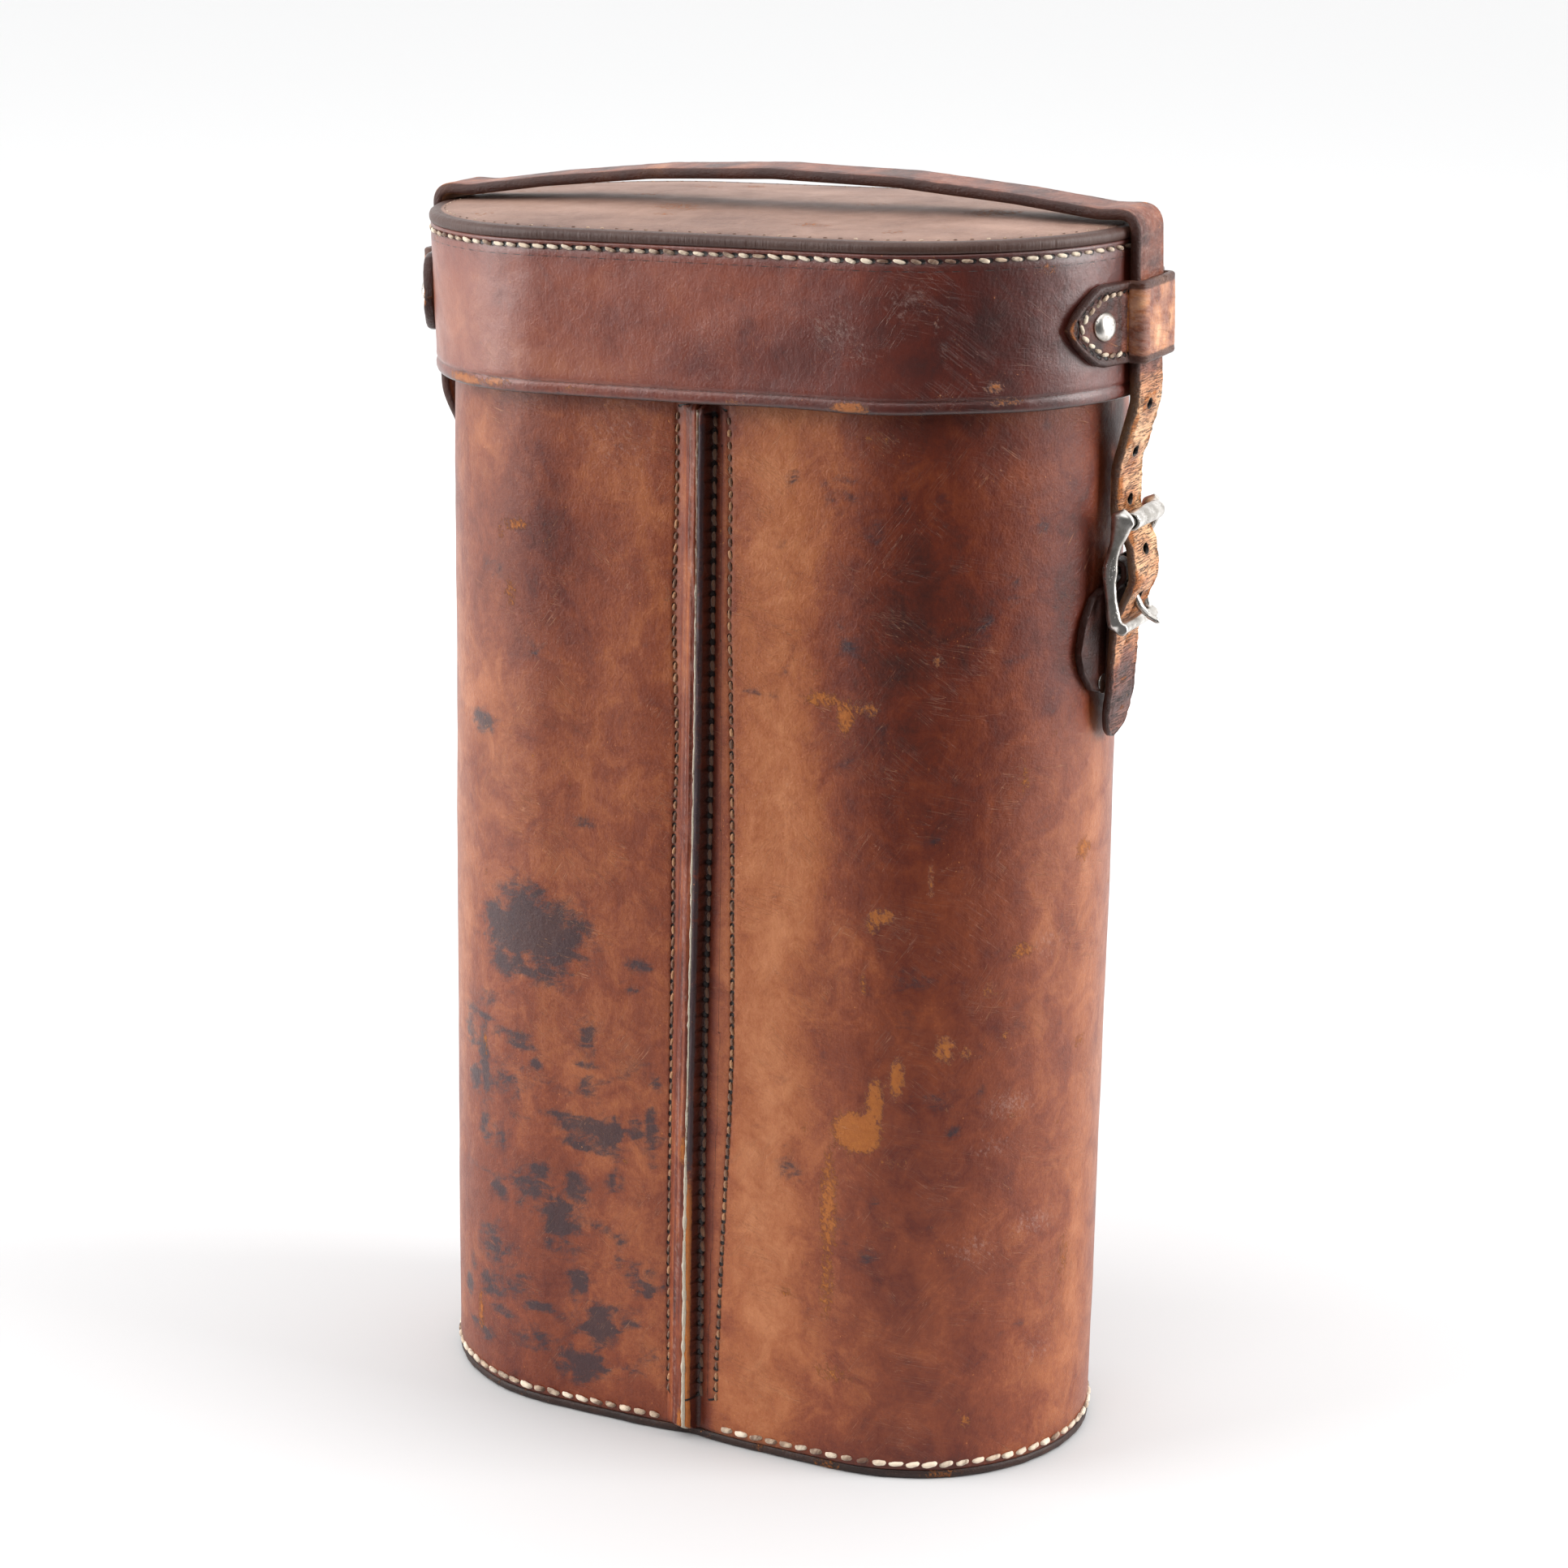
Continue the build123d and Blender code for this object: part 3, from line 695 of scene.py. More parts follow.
def sew(path, normals, pitch, length, radius, slant=0.0, seed=1, sink=0.25, jitter=0.08):
    """Plump two-ply stitches along a path.  Returns vertices, faces and the lay and pick of every point."""
    tangent, distance = frames(path)
    count = max(1, int(distance[-1] / pitch))
    at = (np.arange(count) + 0.5) * distance[-1] / count
    p, t, n = (
        np.stack([np.interp(at, distance, values[:, i]) for i in range(3)], 1)
        for values in (path, tangent, normals)
    )
    draw = seeded(seed)
    t /= np.linalg.norm(t, axis=1, keepdims=True)
    n -= t * (n * t).sum(1, keepdims=True)
    n /= np.linalg.norm(n, axis=1, keepdims=True)
    b = np.cross(n, t)
    lean = (slant + draw.normal(0, jitter, count))[:, None]
    t, b = t * np.cos(lean) + b * np.sin(lean), b * np.cos(lean) - t * np.sin(lean)
    long = length * (1 + draw.normal(0, jitter, count))
    thick = radius * (1 + draw.normal(0, jitter * 0.8, count))
    shade = draw.random(count)

    rows, around = 11, 10
    u = np.linspace(-1, 1, rows)[None, :, None]
    theta = np.linspace(0, 2 * pi, around, endpoint=False)[None, None, :]
    swell = (
        np.sqrt(np.clip(1 - 0.93 * np.abs(u) ** 3.2, 0, 1))
        * (1 + 0.17 * np.abs(np.cos(theta - 3.2 * u)) - 0.08)
    )
    r = thick[:, None, None] * swell
    height = r * np.sin(theta) * 0.8 + thick[:, None, None] * (0.55 - sink * 2 * u ** 4 - sink * 0.5)
    points = (
        p[:, None, None]
        + t[:, None, None] * (u * long[:, None, None] / 2 * np.ones_like(theta))[..., None]
        + b[:, None, None] * (r * np.cos(theta))[..., None]
        + n[:, None, None] * height[..., None]
    )
    _, one = solid_tube(np.zeros((rows, around, 3)))
    faces = [[i + k * rows * around for i in face] for k in range(count) for face in one]
    lay = [at[:, None, None] + u * long[:, None, None] / 2, theta + 3.2 * u, shade[:, None, None] * 40.0]
    lay = np.stack(np.broadcast_arrays(*lay), -1)
    picks = np.broadcast_to(shade[:, None, None], r.shape)
    return points.reshape(-1, 3), faces, lay.reshape(-1, 3), picks.reshape(-1)


def sewn_piece(name, rows, material, body, slot, *nodes):
    """One thread piece from several sewn rows."""
    vertices, faces = join([(row[0], row[1]) for row in rows])
    facts = {
        "lay": np.concatenate([row[2] for row in rows]), "pick": np.concatenate([row[3] for row in rows])
    }
    return place(finish_mesh(name, vertices, faces, material, facts), body, slot, *nodes)


def upright(point, normal, z):
    """A path and its normals from places and normals in plan and a height for each."""
    return np.concatenate([point, z[:, None]], 1), np.concatenate([normal, 0 * z[:, None]], 1)


# ------------------------------------------------------------------ wear on the hide, and painted light and shade in its tones

# Each mark: distance from the front seam (right is positive), height, two half-sizes, strength.
# Some tones are painted light. The darkening at (112, 258) and (110, 260) is painted shade of the strap on
# the wall beside it, partly a real stain. The narrow full-height lighter bands at (124, 130) and (-88, 150)
# are painted highlights along both rounded ends.
TONES = (
    (112, 258, 13, 44, 0.42), (-50, 75, 36, 60, -0.14), (-30, 240, 22, 60, -0.1), (36, 208, 12, 45, -0.16),
    (52, 282, 24, 36, -0.12), (-72, 280, 14, 60, -0.14), (124, 130, 8, 200, -0.14), (24, 170, 13, 260, -0.36),
    (26, 300, 12, 30, -0.05), (64, 170, 22, 260, 0.28), (60, 255, 24, 40, 0.12), (52, 60, 10, 70, -0.05),
    (112, 200, 16, 200, -0.05), (104, 90, 14, 50, 0.12), (84, 150, 8, 160, 0.06), (-62, 258, 20, 32, 0.08),
    (-70, 212, 14, 18, -0.22), (-25, 180, 16, 120, -0.02), (-52, 70, 34, 52, 0.16), (-34, 115, 16, 30, -0.05),
    (-88, 150, 8, 160, -0.16), (-60, 175, 20, 22, -0.08), (-20, 285, 16, 26, -0.08), (-42, 260, 16, 28, 0.24),
    (-66, 40, 22, 40, 0.1), (40, 230, 14, 28, 0.16), (60, 30, 26, 22, -0.12), (26, 30, 14, 26, 0.08),
    (110, 260, 18, 30, 0.12),
)
STAINS = (
    (-52, 147, 16, 9, 1.0), (-42, 150, 9, 7, 0.7), (-62, 140, 9, 8, 0.7), (-47, 136, 8, 6, 0.6),
    (-57, 157, 10, 5, 0.6), (-74, 205, 6, 3, 0.75), (-52, 230, 4, 3, 0.5), (-35, 182, 5, 1.6, 0.55),
    (-68, 251, 6, 3, 0.4), (-53, 67, 9, 6, 0.65), (-66, 65, 5, 4, 0.6), (-73, 82, 3, 6, 0.7),
    (-25, 75, 3, 4, 0.5), (-32, 92, 4, 2, 0.6), (-70, 45, 6, 7, 0.65), (-38, 40, 2.2, 12, 0.6),
    (-52, 20, 9, 4, 0.55), (-12, 22, 4, 3, 0.5), (-62, 100, 12, 5, 0.45), (-45, 52, 7, 4, 0.5),
    (-58, 36, 6, 6, 0.5), (-72, 122, 5, 3, 0.5), (-30, 60, 5, 2, 0.5), (-22, 108, 3, 1.5, 0.5),
    (28, 287, 2, 2.5, 0.55), (45, 245, 2.5, 2.5, 0.55), (42, 285, 5, 6, 0.4), (20, 226, 5, 1.2, 0.5),
    (60, 285, 6, 2, 0.35), (78, 105, 2, 2, 0.6), (68, 190, 5, 2, 0.35), (66, 150, 6, 3, 0.35),
    (86, 128, 5, 1.5, 0.4),
)
SCUFFS = (
    (38, 227, 6, 2.4, 0.75), (45, 223, 2.5, 5, 0.85), (51, 226, 4, 2, 0.7), (51, 104, 6, 5, 1.3),
    (56, 113, 2.4, 7, 0.95), (62, 121, 2, 6, 0.9), (43, 80, 2.8, 17, 0.75), (43, 58, 2.4, 13, 0.65),
    (57, 168, 4, 2, 0.85), (54, 165, 2, 3, 0.7), (75, 130, 3.2, 4, 0.75), (120, 182, 4, 3.5, 0.7),
    (122, 125, 4, 2, 0.6), (97, 157, 4, 2.5, 0.7), (45, 30, 7, 3, 0.55), (62, 96, 6, 2, 0.5),
    (70, 178, 1.2, 7, 0.55), (52, 148, 1.5, 4, 0.6), (70, 240, 1.4, 4, 0.55), (-58, 265, 5, 2, 0.7),
    (-60, 245, 2.4, 5, 0.6), (-64, 262, 2, 2, 0.6), (-72, 108, 1.5, 5, 0.6), (-76, 22, 2, 7, 0.7),
    (52, 300, 8, 2, 0.5), (96, 206, 1.5, 5, 0.6), (118, 60, 3, 10, 0.5), (-10, 250, 1.5, 6, 0.4),
    (-40, 195, 1.2, 5, 0.4),
)
BLOOMS = (
    (95, 112, 8, 4, 0.6), (106, 158, 7, 4, 0.5), (105, 75, 9, 4, 0.55), (108, 35, 8, 4, 0.45),
    (90, 100, 7, 3, 0.5), (-25, 292, 14, 10, 0.4), (-68, 292, 10, 8, 0.35), (85, 70, 7, 5, 0.5),
    (24, 195, 10, 10, 0.25),
)


def marked(marks, s, z):
    """How strongly a list of marks touches each place."""
    total = np.zeros(np.broadcast(s, z).shape)
    for s0, z0, ws, wz, strength in marks:
        reach = (((s - s0) / ws) ** 2 + ((z - z0) / wz) ** 2) / 1.3
        total = np.maximum(total, strength * np.exp(-0.7 * reach ** 1.5))
    return total


def scattered(count, seed, lows, highs, sizes, strength):
    """Random marks over the sides of the case that the named ones leave bare."""
    draw = seeded(seed)
    spots = draw.uniform(lows, highs, (count, 2))
    size = draw.uniform(sizes[0], sizes[1], (count, 2))
    return tuple((*spot, *half, strength * draw.uniform(0.6, 1.1)) for spot, half in zip(spots, size))


SMUDGES = (
    scattered(40, 14, (-84, 12), (-12, 118), (1.6, 7), 0.85)
    + scattered(30, 15, (24, 20), (110, 300), (1, 4), 0.45)
)
SMEARS = tuple(
    (s, z, 4 * ws, 0.8 * wz, k)
    for s, z, ws, wz, k in scattered(30, 18, (-84, 14), (-14, 150), (0.8, 2.4), 0.8)
)
RUBS = (
    scattered(34, 16, (22, 16), (118, 240), (0.6, 2.6), 0.62)
    + scattered(16, 17, (-84, 40), (-10, 300), (0.6, 2.2), 0.55)
)
BACK_STAINS = scattered(26, 11, (140, 10), (375, 300), (2, 9), 0.55)
BACK_SCUFFS = scattered(34, 12, (140, 10), (375, 300), (1.2, 5), 0.75)
BACK_BLOOMS = scattered(9, 13, (140, 10), (375, 300), (6, 12), 0.6)


def hide_wear_and_painted_light(s, z):
    """Tone, stain, scuff and bloom of the case leather at distance s from the front seam and height z; the
    tone holds painted shade beside the strap and painted highlights along both rounded ends.
    """
    tone = 0.47 + 0.1 * fbm(s / 60, z / 130, 3.0, seed=21)
    for s0, z0, ws, wz, strength in TONES:
        tone = tone + strength * bump(s, s0, ws) * bump(z, z0, wz)
    away = np.abs(s)
    tone = tone + smooth(125, 160, away) * (0.05 + 0.28 * fbm(away / 38, z / 110, np.sign(s) * 5.0, seed=22))
    tone = tone + 0.12 * smooth(20, 0, z) + 0.1 * smooth(290, 300, z) - 0.2 * smooth(302, 310, z)
    round_trip = np.where(s < 0, s + 2 * BODY.length, s)
    stain = np.maximum(marked(STAINS + SMUDGES + SMEARS, s, z), marked(BACK_STAINS, round_trip, z))
    scuff = np.maximum(marked(SCUFFS + RUBS, s, z), marked(BACK_SCUFFS, round_trip, z))
    bloom = np.maximum(marked(BLOOMS, s, z), marked(BACK_BLOOMS, round_trip, z))
    bare = smooth(306, 300, z)
    return tone, stain * bare, scuff * bare, bloom * bare


# ------------------------------------------------------------------ body panels and seams

FIN_TOP = 304.0
FIN_SHIFT = 0.6
# Sections of a panel's edge, as (distance from the seam plane, height above the wall).
RAMP_EDGE = (
    (-0.1, -2.6), (-0.15, 3.5), (0.15, 4.25), (0.7, 4.45), (1.7, 3.9), (2.9, 2.9), (4.3, 1.7), (5.6, 0.6),
    (6.6, 0.05), (8.0, 0.05), (16.0, 0.0),
)
LAP_EDGE = (
    (1.05, -2.6), (1.05, 3.7), (1.25, 4.4), (2.1, 4.6), (2.9, 4.4), (3.15, 3.7), (3.2, 1.2), (3.4, 0.1),
    (3.95, -0.35), (5.2, -0.1), (7.2, 0.15), (16.0, 0.0),
)
EDGE_POINTS = 64
EDGE_REACH = 16.0
SEAM_PITCH = 3.3
FIN_PITCH = 4.5
FIN_ROW = 3.5


def fin_lean(z):
    """How far the turned-out edges lean to the left of the seam plane, most near the foot."""
    return -1.5 * smooth(220, 60, z)


def ramp_row(z):
    """How far the ramped panel's stitched row runs from the seam plane."""
    return (
        7.3 + 0.5 * bump(z, 245, 22) - 0.7 * bump(z, 208, 18) + 0.35 * bump(z, 60, 30)
        + 0.1 * noise(z / 11, 3.0)
    )


def lap_row(z):
    """How far the lapped panel's outer row runs from the seam plane."""
    heights = (0, 25, 45, 75, 100, 120, 160, 205, 245, 282, 305)
    distances = (8, 8.3, 9, 10.2, 11.4, 12, 11.6, 10.8, 9.4, 9.2, 8.2)
    return np.interp(z, heights, distances) + 0.1 * noise(z / 9, 7.0)


def edge_section(corners):
    """A panel edge's section at even spacing, its corners softened."""
    return rounded(corners, EDGE_POINTS, 3)


def body_panel(name, side):
    """One half of the wall: a bent sheet whose seam edges turn out into a ramped edge and a lapped one."""
    front, back = (LAP_EDGE, RAMP_EDGE) if side > 0 else (RAMP_EDGE, LAP_EDGE)
    front, back = edge_section(front), edge_section(back)[::-1]
    middle = np.arange(EDGE_REACH + 1.5, BODY.length - EDGE_REACH - 0.5, 1.5)
    s = np.r_[front[:, 0], middle, BODY.length - back[:, 0]]
    out = np.r_[front[:, 1], np.zeros(len(middle)), back[:, 1]]
    inner = np.linspace(BODY.length - 1.0, 1.0, 74)
    levels = np.arange(SOLE + 1.8, BODY_TOP - 1.2, 1.8)
    z = np.r_[SOLE + 0.03, SOLE + 0.5, levels, BODY_TOP - 1.0, BODY_TOP - 0.35, BODY_TOP]
    z_out, s_out = z[:, None], s[None, :]

    near_front = s < BODY.length / 2
    from_seam = np.where(near_front, s, BODY.length - s)[None, :] + 0 * z_out
    lapped = (near_front if side > 0 else ~near_front)[None, :]
    rise = smooth(FIN_TOP + 0.8, FIN_TOP - 0.8, z_out) * smooth(SOLE - 1, SOLE + 1.6, z_out)
    wave = 0.3 * noise(z_out / 23, s_out * 0 + 5.0 * side + 40.0 * near_front[None, :], seed=5)
    height = np.where(out > 0.3, out[None, :] * rise * (1 + 0.07 * wave), out[None, :] * np.ones_like(z_out))
    ragged = np.where(out > 2.5, 0.14 * fbm(z_out / 5, s_out * 3.0, seed=9), 0.0)
    swell = 0.32 * fbm(s_out / 34, z_out / 55, side * 9.0, seed=31) * smooth(6, 22, from_seam)
    row = np.where(lapped, lap_row(z_out), ramp_row(z_out))
    groove = (
        -0.32 * bump(from_seam, row, 0.7) * smooth(FIN_TOP + 2, FIN_TOP - 3, z_out) * smooth(8, 14, z_out)
    )
    foot = -0.28 * bump(z_out, 4.6, 1.2) * smooth(7, 9, from_seam)
    rim = -0.9 * smooth(BODY_TOP - 1.2, BODY_TOP, z_out) ** 2 - 0.25 * smooth(SOLE + 0.6, SOLE, z_out)
    creases = 0.42 * fbm(from_seam, z_out / 30, seed=44, octaves=3) * bump(from_seam, 2.2, 2.6)
    creases = np.where(lapped, 0.0, creases)
    lean = side * fin_lean(z_out) * smooth(9.0, 4.0, from_seam) * np.where(near_front, 1.0, -1.0)[None, :]
    point, _ = BODY.at(s_out + lean, height + ragged + swell + groove + foot + rim + creases, side)
    outer = np.concatenate([point, z_out[..., None] + 0 * point[..., :1]], 2)
    point, _ = BODY.at(inner[None, :] + 0 * z_out, -WALL, side)
    inside = np.concatenate([point, z_out[..., None] + 0 * point[..., :1]], 2)
    rings = np.concatenate([outer, inside], 1)
    vertices, faces = solid_tube(rings)
    if side < 0:
        faces = [face[::-1] for face in faces]

    signed = side * s_out + 0 * z_out
    tone, stain, scuff, bloom = hide_wear_and_painted_light(signed, z_out)
    tip = smooth(2.6, 4.2, height)
    ramped = (~lapped) * rise
    tone = (
        tone + (0.18 + 0.34 * fbm(from_seam / 0.9, z_out / 40, seed=46)) * bump(from_seam, 2.6, 3.0) * ramped
    )
    burnished = tip * lapped + 0.35 * tip * (~lapped)
    # Painted shade: the fin's lapped face and the groove at its foot take the dark burnished colour.
    recess_shade = lapped * bump(from_seam, 3.75, 0.7) * rise
    low = smooth(92, 74, z_out) * tip * lapped
    wear = 0.85 * low + 0.8 * tip * bump(z_out, 90, 8) * (~lapped) + 0.9 * tip * smooth(14, 7, z_out)
    edge = np.clip(0.12 * burnished * (1 - 0.8 * low) + recess_shade, 0, 1) * smooth(FIN_TOP, FIN_TOP - 3, z_out)
    stain = np.maximum(stain, 0.8 * tip * lapped * (1 - low) * smooth(FIN_TOP, FIN_TOP - 3, z_out))
    # Painted shade: the lapped panel is darker within about 8 mm of the seam, beside the fin.
    tone = tone + 0.3 * lapped * smooth(8.2, 5.5, from_seam)
    edge = np.maximum(edge, smooth(6.2, 3.4, z_out) * 0.55)
    # The ramp's crest is greyed with the bloom colour: partly dust, partly a painted sheen where its curve
    # catches the light.
    dust_and_sheen = 0.42 + 0.45 * fbm(from_seam / 0.8, z_out / 34, seed=45)
    bloom = np.maximum(bloom, dust_and_sheen * bump(from_seam, 2.4, 2.4) * ramped)
    across = from_seam - row
    along = z_out / SEAM_PITCH + 0 * across
    stretch = np.full_like(across, SEAM_PITCH * 1.5)
    second = lapped & (np.abs(from_seam - FIN_ROW - 0.5) < np.abs(across)) & (from_seam < 9)
    across = np.where(second, (from_seam - FIN_ROW - 0.5) * 0.8, across)
    along = np.where(second, z_out / FIN_PITCH, along)
    stretch = np.where(second, FIN_PITCH * 1.1, stretch)
    hidden = smooth(FIN_TOP - 1, FIN_TOP + 1, z_out) + smooth(13, 10, z_out)
    across = across + NO_ROW * hidden

    def wide(values, fill=0.0):
        return np.concatenate([values + 0 * signed, np.full((len(z), len(inner)), fill)], 1).ravel()

    lay = np.stack([
        np.concatenate([signed, side * inner[None, :] + 0 * z_out], 1),
        np.repeat(z[:, None], len(s) + len(inner), 1),
        np.concatenate([height, -WALL * 10 + 0 * z_out + 0 * inner[None, :]], 1),
    ], -1).reshape(-1, 3)
    facts = {
        "lay": lay,
        "row": np.stack([wide(across, NO_ROW), wide(along), wide(stretch, 5.0)], -1),
        "tone": wide(tone, 0.4), "stain": wide(stain), "scuff": wide(scuff), "bloom": wide(bloom),
        "edge": wide(edge), "wear": wide(wear), "inside": wide(0.0, 1.0),
    }
    piece = finish_mesh(f"{name}_leather", vertices, faces, CASE_LEATHER, facts)
    return place(piece, "case", "case_leather", name)


def seam_welt(name, face):
    """The linen strip pinched between the two turned-out edges, frayed along its lip."""
    z = np.arange(SOLE + 0.2, BODY_TOP - 2, 1.2)
    low = smooth(95, 70, z)
    centre = FIN_SHIFT + fin_lean(z) * -face + 0.12 * noise(z / 14, 2.0, seed=6)
    half = 0.62 + 0.2 * low
    lip = (4.75 + 0.3 * low + 0.28 * fbm(z / 2.1, 1.0, seed=8)) * smooth(FIN_TOP + 0.6, FIN_TOP - 0.8, z)
    lip = lip - smooth(FIN_TOP - 0.8, FIN_TOP + 0.8, z)
    lip = lip * smooth(SOLE - 1, SOLE + 1.2, z)
    section = np.array([(-1, 0), (-1, 0.55), (-0.8, 0.92), (0, 1), (0.8, 0.92), (1, 0.55), (1, 0)])
    x = (
        centre[:, None] + half[:, None] * section[None, :, 0]
        + 0.06 * noise(z[:, None], section[None, :, 0] * 3, seed=3)
    )
    h = -1.8 + (lip[:, None] + 1.8) * section[None, :, 1]
    y = -(END_RADIUS - PINCH) - h
    rings = np.stack([x * -face, y * -face, z[:, None] + 0 * x], -1)
    vertices, faces = solid_tube(rings)
    facts = {
        "lay": vertices,
        "tone": np.repeat(np.where(z > 110, -0.12 + 0.25 * smooth(180, 290, z), -0.3 * low), 7),
    }
    return place(finish_mesh(f"{name}_linen", vertices, faces, LINEN, facts), "case", "linen", name)


def seam_rows(name, face):
    """The stitched rows of one seam: one on the ramped panel, two on the lapped one."""
    z = np.arange(12.5, FIN_TOP - 1.5, 0.5)
    rows = []
    # The last value darkens each row's thread: grime on the two outer rows, and painted shade on the middle
    # row deep beside the fin.
    for lapped, offset, pitch, length, radius, out, thread_darkening in (
        (False, ramp_row(z), SEAM_PITCH, 2.4, 0.44, -0.16, 0.2),
        (True, lap_row(z), SEAM_PITCH, 2.4, 0.46, -0.14, 0.25),
        (True, FIN_ROW + 0.5 + fin_lean(z) * 0.7, FIN_PITCH, 3.3, 0.58, -0.24, 0.9),
    ):
        right = lapped == (face < 0)
        side = 1 if right else -1
        at = offset if face < 0 else BODY.length - offset
        point, normal = BODY.at(at, out, side)
        path, normals = upright(point, normal, z)
        vertices, faces, lay, pick = sew(
            path, normals, pitch, length, radius, 0.1 * side, 40 + len(rows), sink=0.35, jitter=0.1
        )
        rows.append((vertices, faces, lay, pick + thread_darkening))
    return sewn_piece(f"{name}_stitches", rows, BROWN_THREAD, "case", "waxed_thread", name)


def base_row():
    """Cream saddle stitches round the foot, broken at each seam."""
    rows = []
    for side in SIDES.values():
        s = np.arange(9.5, BODY.length - 9.5, 0.5)
        point, normal = BODY.at(s, -0.15, side)
        z = 4.7 + 0.12 * noise(s / 9, side * 4.0)
        path, normals = upright(point, normal, z)
        rows.append(sew(path, normals, 4.7, 4.0, 0.8, 0.14 * side, 60 + side, sink=0.3))
    return sewn_piece("base_saddle_stitches", rows, CREAM_THREAD, "case", "linen_thread", "base_thread")


def disc_rings(outline, spacing, rim, rings, shape):
    """A closed disc over a two-lobed outline.

    rim is its edge as (outwards, height) pairs from the lower face up.  shape gives the upper face's height
    from how far out a point lies (1 at the rim) and its place."""
    point, normal, s = outline.loop(spacing)
    spine = np.stack([np.clip(point[:, 0], -FLAT, FLAT), 0 * s], 1)
    levels = []
    first_out, first_z = rim[0]
    last_out, last_z = rim[-1]
    for k in np.linspace(0, 1, rings, endpoint=False):
        flat = spine + (point + normal * first_out - spine) * k
        levels.append(np.stack([flat[:, 0], flat[:, 1], first_z + 0 * s], 1))
    for out, z in rim:
        flat = point + normal * out
        levels.append(np.stack([flat[:, 0], flat[:, 1], z + 0 * s], 1))
    for k in np.linspace(1, 0, rings + 1)[1:]:
        flat = spine + (point + normal * last_out - spine) * k
        levels.append(np.stack([flat[:, 0], flat[:, 1], last_z + shape(k, flat[:, 0], flat[:, 1])], 1))
    return np.array(levels), s


# Weld distances, in metres: one that closes a disc along its middle line, and one for true duplicates only.
WELD = 0.0001
FINE_WELD = 0.000001


def weld(piece, distance=WELD):
    """Merges points that lie within a distance in metres, such as along a disc's middle line."""
    work = bmesh.new()
    work.from_mesh(piece.data)
    bmesh.ops.remove_doubles(work, verts=work.verts, dist=distance)
    bmesh.ops.dissolve_degenerate(work, edges=work.edges, dist=distance / 4)
    bmesh.ops.recalc_face_normals(work, faces=work.faces)
    work.to_mesh(piece.data)
    work.free()
    return piece


def base_sole():
    """The sole: a thick disc whose edge is scraped and rounded."""
    rim = ((-1.6, 0.0), (-0.7, 0.12), (-0.15, 0.6), (0.1, 1.2), (0.12, 1.9), (-0.1, 2.5), (-0.5, SOLE - 0.02))
    spacing, rings = 1.8, 20

    def level(k, x, y):
        return 0 * x

    levels, s = disc_rings(BODY, spacing, rim, rings, level)
    rough = 0.16 * fbm(s / 4, 1.0, seed=71)
    edge_rows = slice(rings, rings + len(rim))
    _, normal, _ = BODY.loop(spacing)
    levels[edge_rows, :, :2] += (normal * rough[:, None])[None]
    rows, around, _ = levels.shape
    vertices = levels.reshape(-1, 3)
    on_edge = np.zeros((rows, around))
    on_edge[edge_rows] = 1
    facts = {
        "lay": vertices,
        "tone": (0.45 + 0.4 * on_edge + 0.15 * fbm(levels[..., 0] / 20, levels[..., 1] / 20, seed=4)).ravel(),
        "scuff": (on_edge * np.clip(0.5 * fbm(s / 11, 2.0, seed=73), 0, 1)[None]).ravel(),
        "edge": (on_edge * 0.35).ravel(),
        "row": no_row(rows * around),
    }
    piece = finish_mesh("base_sole_leather", vertices, grid_faces(rows, around), SOLE_LEATHER, facts)
    return place(weld(piece), "case", "sole_leather", "base_sole")


def divider():
    """The upright partition between the two wells, flanged against both seams."""
    low, high = box_mm("divider")
    reach = high[1]
    web, flange, thick = 1.0, 12.0, 2.0
    back, middle, tip = -(reach - thick), -(reach - thick / 2), flange - 0.3
    outline = [(-web, y) for y in np.linspace(reach - thick - 1.5, back + 1.5, 40)]
    outline += [(-web - 1.2, back), (-tip, back), (-flange, middle), (-tip, -reach)]
    outline += [(x, -reach) for x in np.linspace(-flange + 1.5, flange - 1.5, 12)]
    outline += [(tip, -reach), (flange, middle), (tip, back), (web + 1.2, back)]
    outline += [(-x, -y) for x, y in outline]
    outline = np.array(outline)
    z = np.linspace(low[2], high[2], 90)
    bend = 0.35 * fbm(outline[None, :, 1] / 30, z[:, None] / 50, seed=81)
    points = np.stack([outline[None, :, 0] + bend, outline[None, :, 1] + 0 * bend, z[:, None] + 0 * bend], -1)
    vertices, faces = solid_tube(points)
    facts = {
        "lay": vertices[:, [1, 2, 0]],
        "tone": (
            0.5 + 0.25 * fbm(vertices[:, 1] / 25, vertices[:, 2] / 40, seed=82)
            + 0.3 * smooth(315, 325, vertices[:, 2])
        ),
        "row": no_row(len(vertices)),
    }
    piece = finish_mesh("divider_leather", vertices, faces, LINING_LEATHER, facts)
    return place(weld(piece), "case", "lining_leather", "divider")


# ------------------------------------------------------------------ solids that grow together


def fused(name, parts, voxel, material, smoothing):
    """One skin over several overlapping solids, its corners melted together like cast or bent metal."""
    vertices, faces = join(parts)
    piece = finish_mesh(name, vertices, faces, material)
    remesh = piece.modifiers.new("remesh", "REMESH")
    remesh.mode = "VOXEL"
    remesh.voxel_size = voxel * MM
    soften = piece.modifiers.new("soften", "SMOOTH")
    soften.iterations = smoothing
    return applied(piece)


def applied(piece):
    """The piece with its modifiers made into its mesh."""
    bpy.context.view_layer.update()
    graph = bpy.context.evaluated_depsgraph_get()
    mesh = bpy.data.meshes.new_from_object(
        piece.evaluated_get(graph), preserve_all_data_layers=True, depsgraph=graph
    )
    old = piece.data
    piece.modifiers.clear()
    piece.data = mesh
    mesh.name = piece.name
    mesh.polygons.foreach_set("use_smooth", [True] * len(mesh.polygons))
    bpy.data.meshes.remove(old)
    return piece


